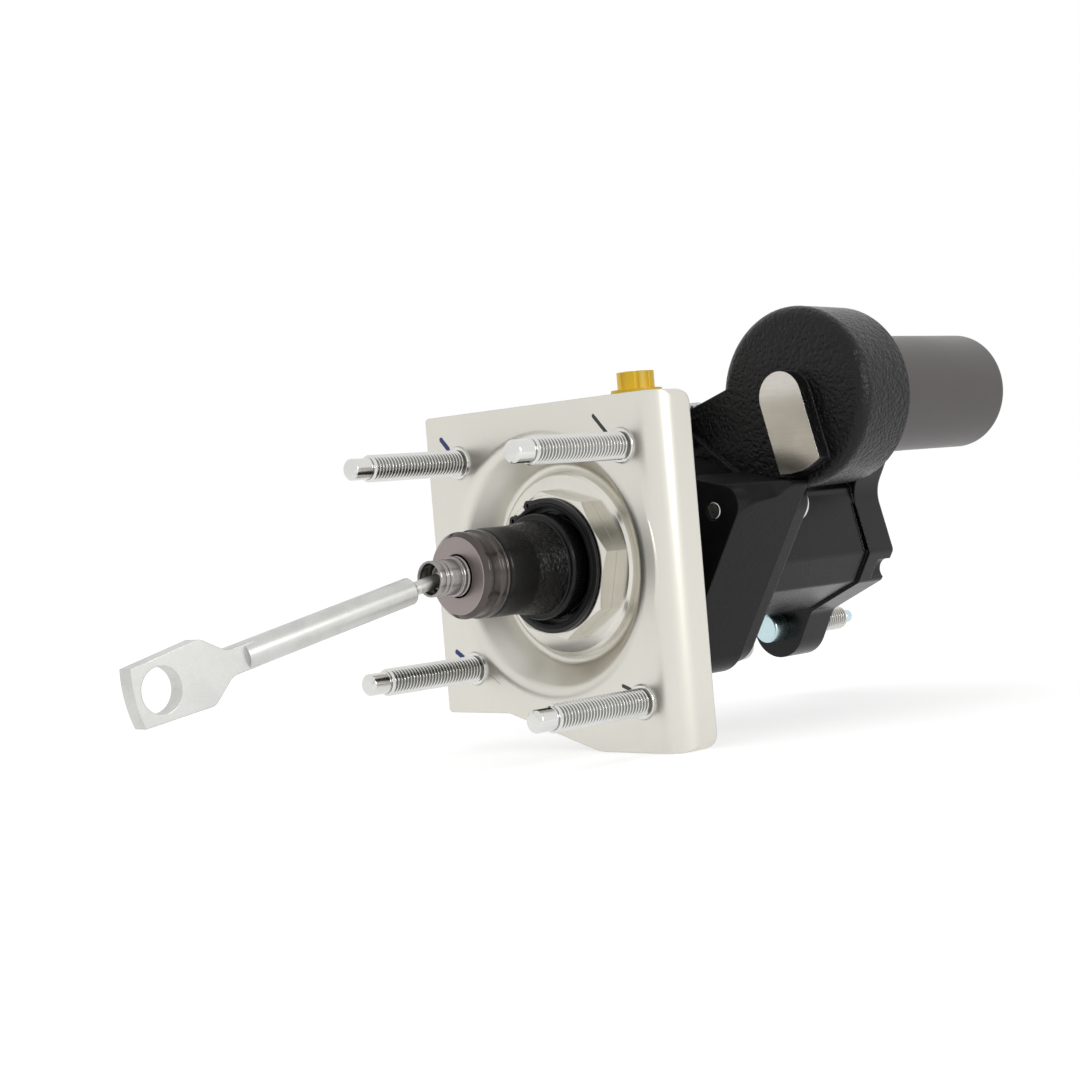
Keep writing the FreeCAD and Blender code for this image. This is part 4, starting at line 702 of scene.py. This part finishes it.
def new_piece(name, mesh, material, angle=32.0):
    """Turn a finished bmesh into an object with its material."""
    bmesh.ops.recalc_face_normals(mesh, faces=mesh.faces)
    data = bpy.data.meshes.new(name)
    mesh.to_mesh(data)
    mesh.free()
    for polygon in data.polygons:
        polygon.use_smooth = True
    data.set_sharp_from_angle(angle=radians(angle))
    data.materials.append(material)
    piece = link_object(name, data)
    return piece


# Operators, one for each piece or group of like pieces


class BOOSTER_OT_effects(bpy.types.Operator):
    """Build the shared surface effects once"""

    bl_idname = "booster.effects"
    bl_label = "Surface effects"

    def execute(self, context):
        for build in (build_smudges, build_sand_cast, build_turned, build_rolled, build_soft_edge, build_stroke,
                      build_region):
            build()
        return {"FINISHED"}


class BOOSTER_OT_stage(bpy.types.Operator):
    """Put up the pale floor, the world, the lamps and the camera"""

    bl_idname = "booster.stage"
    bl_label = "Stage"

    def looked_at(self, tree):
        """1 for the rays that show the background: the camera's, mirrored ones and those that go through."""
        path = add(tree, "ShaderNodeLightPath")
        seen = maths(tree, "MAXIMUM", path.outputs["Is Camera Ray"], path.outputs["Is Transmission Ray"])
        return maths(tree, "MAXIMUM", seen, path.outputs["Is Glossy Ray"])

    def pale_floor(self):
        mesh = bmesh.new()
        bmesh.ops.create_circle(mesh, cap_ends=True, segments=96, radius=FLOOR_RADIUS)
        bmesh.ops.translate(mesh, vec=(0, 0, cad_box[0].z - FLOOR_GAP), verts=mesh.verts)
        material = bpy.data.materials.new("Pale floor")
        material.use_nodes = True
        tree = material.node_tree
        tree.nodes.clear()
        lit = add(tree, "ShaderNodeBsdfDiffuse")
        lit.inputs["Color"].default_value = (0.5, 0.5, 0.5, 1)
        glow = add(tree, "ShaderNodeEmission")
        glow.inputs["Color"].default_value = (1, 1, 1, 1)
        put(tree, glow.inputs["Strength"], maths(tree, "MULTIPLY", self.looked_at(tree), FLOOR_GLOW))
        both = add(tree, "ShaderNodeAddShader")
        put(tree, both.inputs[0], lit.outputs[0])
        put(tree, both.inputs[1], glow.outputs[0])
        out = add(tree, "ShaderNodeOutputMaterial")
        put(tree, out.inputs["Surface"], both.outputs[0])
        floor = new_piece("floor", mesh, material)

    def pale_world(self, scene):
        """White where it is looked at; half of that as light on the object."""
        world = bpy.data.worlds.new("Studio")
        scene.world = world
        world.use_nodes = True
        tree = world.node_tree
        tree.nodes.clear()
        background = add(tree, "ShaderNodeBackground")
        background.inputs["Color"].default_value = (1, 1, 1, 1)
        put(tree, background.inputs["Strength"], mix_values(tree, self.looked_at(tree), LIGHT_ON_OBJECT, 1.0))
        out = add(tree, "ShaderNodeOutputWorld")
        put(tree, out.inputs["Surface"], background.outputs[0])

    def soft_sun(self, direction, strength, spread):
        """Wide sun that mirrored rays don't see, so that metal isn't lit past white."""
        data = bpy.data.lights.new("Soft key", "SUN")
        data.energy = strength
        data.angle = radians(spread)
        piece = link_object("Soft key", data)
        piece.rotation_euler = Vector(direction).to_track_quat("Z", "Y").to_euler()
        piece.visible_glossy = False

    def lamp(self, name, place, target, width, height, power):
        data = bpy.data.lights.new(name, "AREA")
        data.shape = "RECTANGLE"
        data.size = width
        data.size_y = height
        data.energy = power
        data.color = LAMP_COLOUR
        piece = link_object(name, data)
        piece.location = place
        piece.rotation_euler = (Vector(target) - Vector(place)).to_track_quat("-Z", "Y").to_euler()
        piece.visible_camera = False

    def camera(self, scene):
        data = bpy.data.cameras.new("Camera")
        data.sensor_width = SENSOR_WIDTH
        data.lens = SENSOR_WIDTH * FOCAL_PIXELS / PICTURE_PIXELS
        data.clip_start = 0.01
        data.clip_end = 50.0
        piece = link_object("Camera", data)
        turn = Matrix((CAMERA_RIGHT, CAMERA_UP, CAMERA_BACK)).transposed().to_4x4()
        piece.matrix_world = Matrix.Translation(CAMERA_PLACE) @ turn
        scene.camera = piece

    def execute(self, context):
        scene = context.scene
        scene.view_settings.view_transform = "Standard"
        self.pale_floor()
        self.pale_world(scene)
        self.soft_sun(SUN_DIRECTION, SUN_STRENGTH, SUN_SPREAD)
        self.lamp("Side softbox", place=(0.60, 0.06, 0.20), target=(0.02, 0.02, 0.02),
                  width=0.13, height=0.22, power=1.2)
        self.camera(scene)
        return {"FINISHED"}


class BOOSTER_OT_bracket(bpy.types.Operator):
    """Finish the bracket sheet with its pen strokes and scratch, and the washer and nut"""

    bl_idname = "booster.bracket"
    bl_label = "Bracket, washer and nut"

    def execute(self, context):
        colour = context.scene.booster_finishes.sheet_colour
        material = surface(
            "Bracket sheet", colour=colour, second=shade(colour, 0.97), roughness=0.32, spread=0.012,
            skin=ROLLED, depth=0.000003, edge=0.0006, patch=28.0)
        place = place_in(material)
        tree = material.node_tree
        # Pen strokes: start, end, width, colour
        strokes = (
            ((-0.0512, PLATE, 0.0503), (-0.0477, PLATE, 0.0466), 0.0022, (0.022, 0.045, 0.17)),
            ((-0.0524, PLATE, -0.0310), (-0.0492, PLATE, -0.0330), 0.0022, (0.025, 0.05, 0.19)),
            ((0.03025, PLATE, 0.0522), (0.0359, PLATE, 0.0460), 0.0016, (0.035, 0.036, 0.042)),
            ((0.0339, PLATE, -0.0438), (0.0371, PLATE, -0.0449), 0.0015, (0.05, 0.05, 0.055)),
        )
        for start, end, width, ink in strokes:
            stroke = use(tree, "Marker stroke", Coordinates=place, Start=start, End=end, Width=width,
                         Ragged=0.7)
            over(material, stroke.outputs["Mask"], ink, roughness=0.45, metallic=0.2)
        scratch = use(tree, "Marker stroke", Coordinates=place, Start=(-0.0349, PLATE, -0.0399),
                      End=(-0.0298, PLATE, -0.0433), Width=0.0003, Ragged=0.9)
        over(material, scratch.outputs["Mask"], shade(colour, 0.45), roughness=0.5)
        dress("mounting_bracket", material)
        dress("spacer_washer", satin_nickel())
        dress("neck_nut", satin_nickel())
        return {"FINISHED"}


class BOOSTER_OT_bracket_studs(bpy.types.Operator):
    """Make the four bracket studs with their threads, guide tips and collars"""

    bl_idname = "booster.bracket_studs"
    bl_label = "Bracket studs"

    def execute(self, context):
        sizes = context.scene.booster_sizes
        radius = sizes.stud_radius
        shoulder = STUD_TIP + sizes.guide_tip
        chamfer = 0.001
        guide = 0.004
        runout = 0.9
        thread_end = -0.0009
        core = radius - CORE_DEPTH * sizes.stud_pitch

        def limit(station):
            """The thread grows out of the guide tip."""
            return guide + max(0.0, station - shoulder + chamfer) * runout

        mesh = bmesh.new()
        for x, z in STUD_PLACES:
            add_thread(mesh, shoulder - chamfer, thread_end, radius, sizes.stud_pitch, limit, x, z)
        for x, z in STUD_PLACES:
            tip = [(STUD_TIP, 0), (STUD_TIP, guide - chamfer), (STUD_TIP + chamfer, guide),
                   (shoulder - 0.0009, guide), (shoulder - 0.0007, core), (PLATE, core)]
            add_turned(mesh, soften(tip, 0.0004), x, z, 48)
            collar = [(-0.001, core), (-0.001, 0.0060), (-0.0006, 0.0062), (PLATE, 0.0062), (PLATE, 0.0063),
                      (0.003, 0.0063), (0.003, 0.007), (0.0054, 0.007), (0.0054, 0)]
            add_turned(mesh, soften(collar, 0.0002), x, z, 64)
        piece = new_piece("bracket_studs_threaded", mesh, stud_zinc(), 40)
        # The second material paints shade into the thread grooves
        piece.data.materials.append(plain("Painted groove shade"))
        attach(piece, "housing")
        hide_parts("bracket_studs")
        return {"FINISHED"}


class BOOSTER_OT_cylinder_studs(bpy.types.Operator):
    """Make the two master cylinder studs with their threads and point"""

    bl_idname = "booster.cylinder_studs"
    bl_label = "Master cylinder studs"

    def execute(self, context):
        sizes = context.scene.booster_sizes
        radius = sizes.stud_radius
        end = CYLINDER_STUD_TIP - 0.0055
        dog = 0.0027
        head_radius = 0.006
        shank = 0.0053
        chamfer = 0.0006
        lead = 0.0015
        core = radius - CORE_DEPTH * sizes.stud_pitch

        def limit(station):
            """The thread tapers off towards the point."""
            return radius - lead + max(0.0, end - station)

        front = FLANGE_FACE - 0.0158
        mesh = bmesh.new()
        for x, z in CYLINDER_STUD_PLACES:
            add_thread(mesh, FLANGE_FACE - 0.0006, end, radius, sizes.stud_pitch, limit, x, z)
        for x, z in CYLINDER_STUD_PLACES:
            head = [(CYLINDER_STUD_HEAD, 0), (CYLINDER_STUD_HEAD, 0.0054),
                    (CYLINDER_STUD_HEAD + chamfer, head_radius), (front, head_radius), (front, shank),
                    (FLANGE_FACE, shank), (FLANGE_FACE, core)]
            add_turned(mesh, soften(head, 0.0004), x, z, 56)
            point = [(FLANGE_FACE - 0.001, core), (end, core - 0.0002), (end, dog),
                     (CYLINDER_STUD_TIP - chamfer, dog), (CYLINDER_STUD_TIP, dog - chamfer),
                     (CYLINDER_STUD_TIP, 0)]
            add_turned(mesh, soften(point, 0.0003), x, z, 48)
        piece = new_piece("cylinder_studs_threaded", mesh, plain("Blue zinc"), 40)
        # The second material paints shade into the thread grooves
        piece.data.materials.append(plain("Painted groove shade"))
        piece.data.materials.append(stud_zinc())
        head_finish, thread_finish = 0, 2
        for polygon in piece.data.polygons:
            if FLANGE_FACE - 0.001 < polygon.center.y < end and polygon.material_index == head_finish:
                polygon.material_index = thread_finish
        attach(piece, "housing")
        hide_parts("cylinder_studs")
        return {"FINISHED"}


class BOOSTER_OT_boot(bpy.types.Operator):
    """Make the rubber boot, which stretches between the piston and the housing"""

    bl_idname = "booster.boot"
    bl_label = "Rubber boot"

    def profile(self):
        """Closed (station, radius) profile in short steps."""
        nose = BOOT_NOSE
        longest = 0.0012
        corners = [
            (nose, 0.0142), (nose, 0.0154), (nose + 0.0008, 0.016), (-0.018, 0.016), (-0.005, 0.0173),
            (-0.005, 0.0189), (-0.0042, 0.0195), (0.0015, 0.0195), (0.0027, 0.0174), (0.0057, 0.0174),
            (0.0057, 0.0212), (BOOT_END, 0.0212), (BOOT_END, 0.0157), (-0.005, 0.0157), (-0.018, 0.0144),
            (CUP_REAR + 0.0001, 0.0144), (CUP_REAR + 0.0001, 0.0142),
        ]
        rounded = soften(corners, 0.0007, 4, closed=True)
        fine = []
        for index, point in enumerate(rounded):
            following = rounded[(index + 1) % len(rounded)]
            pieces = max(1, int(abs(following[0] - point[0]) / longest))
            for step in range(pieces):
                share = step / pieces
                fine.append(tuple(point[axis] + (following[axis] - point[axis]) * share for axis in (0, 1)))
        return fine

    def execute(self, context):
        colour = context.scene.booster_finishes.rubber_colour
        material = surface(
            "Boot rubber", colour=shade(colour, 0.4), second=shade(colour, 0.7), roughness=0.26, spread=0.04,
            skin=BOOT_SKIN, depth=0.00024, metallic=0.0, edge=0.0002, specular=0.28)
        tree = material.node_tree
        grainy = use(tree, "Region", Coordinates=place_in(material), Low=(-0.1, -0.019, -0.1),
                     High=(0.1, -0.0052, 0.1))
        only_where(material, remap(tree, grainy.outputs["Mask"], 0.0, 1.0, 0.1, 1.0))
        mesh = bmesh.new()
        add_turned(mesh, self.profile(), sides=120, closed=True)
        piece = new_piece("boot_moulded", mesh, material, 50)
        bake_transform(piece)
        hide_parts("boot")
        return {"FINISHED"}


class BOOSTER_OT_springs(bpy.types.Operator):
    """Make the return spring and the spool spring"""

    bl_idname = "booster.springs"
    bl_label = "Springs"

    def execute(self, context):
        sizes = context.scene.booster_sizes
        mesh = bmesh.new()
        add_coil(mesh, wire=sizes.spring_wire, mean=0.013, turns=sizes.spring_turns,
                 start=SPRING_START, end=SPRING_END)
        piece = new_piece("return_spring_coiled", mesh, plain("Spring steel"))
        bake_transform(piece)
        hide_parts("return_spring")
        mesh = bmesh.new()
        add_coil(mesh, wire=0.0005, mean=0.0034, turns=5, start=SPOOL_SPRING_START, end=SPOOL_SPRING_END,
                 z=SPOOL_OFFSET, sides=10, steps=32)
        bmesh.ops.transform(mesh, matrix=Matrix.Rotation(SPOOL_LEAN, 4, "Y"), verts=mesh.verts)
        piece = new_piece("spool_spring_coiled", mesh, plain("Spring steel"))
        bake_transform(piece)
        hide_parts("spool_spring")
        return {"FINISHED"}


class BOOSTER_OT_end_cup(bpy.types.Operator):
    """Make the dark end cup of the piston with its turned rings"""

    bl_idname = "booster.end_cup"
    bl_label = "End cup"

    def execute(self, context):
        colour = context.scene.booster_finishes.cup_colour
        # Lighter edges on the cup: edge wear and a painted edge highlight
        material = surface(
            "Hard coated steel", colour=colour, second=shade(colour, 0.8), roughness=0.17, spread=0.03,
            skin=TURNED, depth=0.000004, edge_wear_and_highlight=(0.46, 0.42, 0.40), edge_wear_and_highlight_share=0.9)
        face = use(material.node_tree, "Region", Coordinates=place_in(material),
                   Low=(-0.1, CUP_FACE - 0.001, -0.1), High=(0.1, CUP_FACE + SAME_STATION, 0.1))
        over(material, face.outputs["Mask"], (0.31, 0.27, 0.26), roughness=0.36)
        groove = -0.0322
        profile = [
            (CUP_FACE, 0.0077), (CUP_FACE, 0.0136), (CUP_FACE + 0.0018, 0.0154), (-0.0402, 0.0154),
            (-0.0400, 0.0151), (-0.0362, 0.0151), (-0.0360, 0.0154), (-0.0357, 0.0158), (-0.0340, 0.0158),
            (-0.0338, 0.0155), (-0.0335, 0.0155), (-0.0333, 0.0158), (-0.0329, 0.0158), (-0.0327, 0.0156),
            (groove, 0.0156), (groove, 0.0142), (CUP_REAR, 0.0142), (CUP_REAR, 0.0059), (-0.037, 0.0059),
            (-0.037, 0.0077),
        ]
        mesh = bmesh.new()
        add_turned(mesh, soften(profile, 0.0002, 3, closed=True), sides=128, closed=True)
        piece = new_piece("end_cup_turned", mesh, material, 40)
        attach(piece, "power_piston")
        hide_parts("end_cup")
        return {"FINISHED"}


class BOOSTER_OT_plunger(bpy.types.Operator):
    """Make the input plunger with its rolled socket tube, and finish the ball seat"""

    bl_idname = "booster.plunger"
    bl_label = "Input plunger"

    def execute(self, context):
        rim = TUBE_RIM
        # The mesh ends this much before the solid, whose end by its sizes just meets the bore's bottom
        # at full travel
        end = PLUNGER_END - 0.0001
        neck = PLUNGER_END - 0.017
        profile = [
            (-0.0445, 0), (-0.0445, 0.0053), (rim + 0.0006, 0.0053), (rim, 0.0057), (rim, 0.0062),
            (rim + 0.0005, 0.0064), (rim + 0.0024, 0.0064), (rim + 0.0027, 0.0060), (rim + 0.0034, 0.0060),
            (rim + 0.0037, 0.0063), (rim + 0.0046, 0.0063), (rim + 0.0048, 0.0061), (rim + 0.0052, 0.0061),
            (rim + 0.0054, 0.0064),
            (-0.0465, 0.0064), (-0.0465, 0.0070), (-0.0461, 0.0072), (-0.0452, 0.0072), (-0.0450, 0.0068),
            (-0.0444, 0.0068), (-0.0442, 0.0072), (-0.0430, 0.0072), (-0.0426, 0.0070), (-0.0426, 0.0046),
            (neck, 0.0046), (neck, 0.0038), (end, 0.0038), (end, 0),
        ]
        mesh = bmesh.new()
        add_turned(mesh, soften(profile, 0.0002), sides=96)
        piece = new_piece("input_plunger_turned", mesh, plain("Tube steel"), 40)
        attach(piece, "input_plunger")
        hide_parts("input_plunger")
        dress("rod_grommet", plain("Nylon"))
        return {"FINISHED"}


class BOOSTER_OT_push_rod(bpy.types.Operator):
    """Finish the pedal push rod"""

    bl_idname = "booster.push_rod"
    bl_label = "Push rod"

    def execute(self, context):
        colour = context.scene.booster_finishes.rod_colour
        material = surface(
            "Push rod steel", colour=colour, second=shade(colour, 0.84), roughness=0.36, spread=0.06,
            skin=ROD_SKIN, depth=0.00002, edge=0.0005, patch=90.0)
        dress("push_rod", material)
        return {"FINISHED"}


class BOOSTER_OT_castings(bpy.types.Operator):
    """Finish the black castings, with bare machined faces"""

    bl_idname = "booster.castings"
    bl_label = "Castings"

    def execute(self, context):
        colour = context.scene.booster_finishes.casting_colour
        # Lighter edges on the castings: edge wear and a painted edge highlight
        cast = surface(
            "Cast black", colour=shade(colour, 0.4), second=shade(colour, 0.8), roughness=0.29, spread=0.06,
            skin=SAND, depth=0.00024, metallic=0.0, edge=0.0010, edge_wear_and_highlight=(0.06, 0.06, 0.06), specular=0.26)
        # The grain is coarse on the boss only: above these heights and before these stations
        smooth_share = 0.12
        tree = cast.node_tree
        parts = add(tree, "ShaderNodeSeparateXYZ")
        put(tree, parts.inputs[0], place_in(cast))
        high = remap(tree, parts.outputs[2], 0.016, 0.030, smooth=True)
        ahead = remap(tree, parts.outputs[1], 0.128, 0.118, smooth_share, 1.0, smooth=True)
        only_where(cast, maths(tree, "MULTIPLY", ahead, remap(tree, high, 0.0, 1.0, smooth_share, 1.0)))
        milled = surface(
            "Milled face", colour=(0.64, 0.61, 0.56), second=(0.56, 0.53, 0.49), roughness=0.15, spread=0.02,
            skin=MILLED, depth=0.000006)
        dress("main_housing", cast)
        dress_faces("main_housing", milled, lambda centre, normal: (
            normal.y < -SQUARE_ON and abs(centre.y - PAD_FACE) < SAME_STATION and centre.x > PAD_INNER_X))
        dress_faces("main_housing", milled, lambda centre, normal: (
            normal.y > SQUARE_ON and abs(centre.y - FLANGE_FACE) < SAME_STATION))
        # Lighter edges on the cover: edge wear and a painted edge highlight
        cover = surface(
            "Cover black", colour=shade(colour, 0.9), second=shade(colour, 1.5), roughness=0.33, spread=0.06,
            skin=FINE_SAND, depth=0.00005, metallic=0.0, edge=0.0008, edge_wear_and_highlight=(0.05, 0.05, 0.05), specular=0.12)
        dress("rear_cover", cover)
        return {"FINISHED"}


class BOOSTER_OT_accumulator(bpy.types.Operator):
    """Finish the gas accumulator in satin paint"""

    bl_idname = "booster.accumulator"
    bl_label = "Accumulator"

    def execute(self, context):
        colour = context.scene.booster_finishes.can_colour
        # Lighter edges on the can: edge wear and a painted edge highlight
        material = surface(
            "Satin grey paint", colour=colour, second=shade(colour, 0.9), roughness=0.38, spread=0.04,
            skin=FINE_SAND, depth=0.000015, metallic=0.0, edge=0.0008, edge_wear_and_highlight=(0.30, 0.28, 0.26), edge_wear_and_highlight_share=0.4,
            patch=22.0)
        dress("accumulator", material)
        dress("accumulator_ring", plain("Black oxide"))
        return {"FINISHED"}


class BOOSTER_OT_small_parts(bpy.types.Operator):
    """Finish the plugs, rings, bolts and caps"""

    bl_idname = "booster.small_parts"
    bl_label = "Plugs, rings and bolts"

    def execute(self, context):
        dress("port_plugs", yellow_plastic())
        dress("return_cap", plain("Black plastic"))
        dress("return_nipple", zinc())
        dress("passage_plug", plain("Ground steel"))
        dress("cover_bolts", zinc())
        for node in ("neck_ring", "boot_retainer"):
            dress(node, plain("Black oxide"))
        return {"FINISHED"}


class BOOSTER_OT_inner_parts(bpy.types.Operator):
    """Finish the pieces inside the housing"""

    bl_idname = "booster.inner_parts"
    bl_label = "Inner parts"

    def execute(self, context):
        for node in ("power_piston", "output_rod", "lever_pin", "spool", "spool_sleeve", "spool_plug"):
            dress(node, plain("Ground steel"))
        for node in ("cover_gasket", "rod_seal", "piston_seal"):
            dress(node, plain("Seal rubber"))
        dress("rod_bush", plain("Sintered bronze"))
        dress("valve_lever", plain("Forged steel"))
        dress("spring_seat", zinc())
        dress("seat_ring", plain("Black oxide"))
        return {"FINISHED"}


class BOOSTER_PT_parts(bpy.types.Panel):
    """Lists what the booster is dressed with"""

    bl_idname = "BOOSTER_PT_parts"
    bl_label = "Brake booster"
    bl_space_type = "VIEW_3D"
    bl_region_type = "UI"
    bl_category = "Booster"

    def draw(self, context):
        column = self.layout.column(align=True)
        for operator in OPERATORS:
            column.operator(operator.bl_idname)
        sizes = context.scene.booster_sizes
        for name in ("stud_pitch", "stud_radius", "guide_tip", "spring_wire", "spring_turns", "lathe_sides"):
            self.layout.prop(sizes, name)
        finishes = context.scene.booster_finishes
        for name in ("sheet_colour", "zinc_colour", "casting_colour", "can_colour", "rubber_colour",
                     "plug_colour", "rod_colour", "cup_colour"):
            self.layout.prop(finishes, name)


OPERATORS = (
    BOOSTER_OT_effects,
    BOOSTER_OT_stage,
    BOOSTER_OT_bracket,
    BOOSTER_OT_bracket_studs,
    BOOSTER_OT_cylinder_studs,
    BOOSTER_OT_boot,
    BOOSTER_OT_springs,
    BOOSTER_OT_end_cup,
    BOOSTER_OT_plunger,
    BOOSTER_OT_push_rod,
    BOOSTER_OT_castings,
    BOOSTER_OT_accumulator,
    BOOSTER_OT_small_parts,
    BOOSTER_OT_inner_parts,
)
CLASSES = (BoosterSizes, BoosterFinishes, *OPERATORS, BOOSTER_PT_parts)


def register():
    for item in CLASSES:
        bpy.utils.register_class(item)
    bpy.types.Scene.booster_sizes = PointerProperty(type=BoosterSizes)
    bpy.types.Scene.booster_finishes = PointerProperty(type=BoosterFinishes)


def unregister():
    del bpy.types.Scene.booster_finishes
    del bpy.types.Scene.booster_sizes
    for item in reversed(CLASSES):
        bpy.utils.unregister_class(item)


def main():
    register()
    bpy.ops.booster.effects()
    bpy.ops.booster.stage()
    bpy.ops.booster.bracket()
    bpy.ops.booster.bracket_studs()
    bpy.ops.booster.cylinder_studs()
    bpy.ops.booster.boot()
    bpy.ops.booster.springs()
    bpy.ops.booster.end_cup()
    bpy.ops.booster.plunger()
    bpy.ops.booster.push_rod()
    bpy.ops.booster.castings()
    bpy.ops.booster.accumulator()
    bpy.ops.booster.small_parts()
    bpy.ops.booster.inner_parts()


if __name__ == "__main__":
    main()
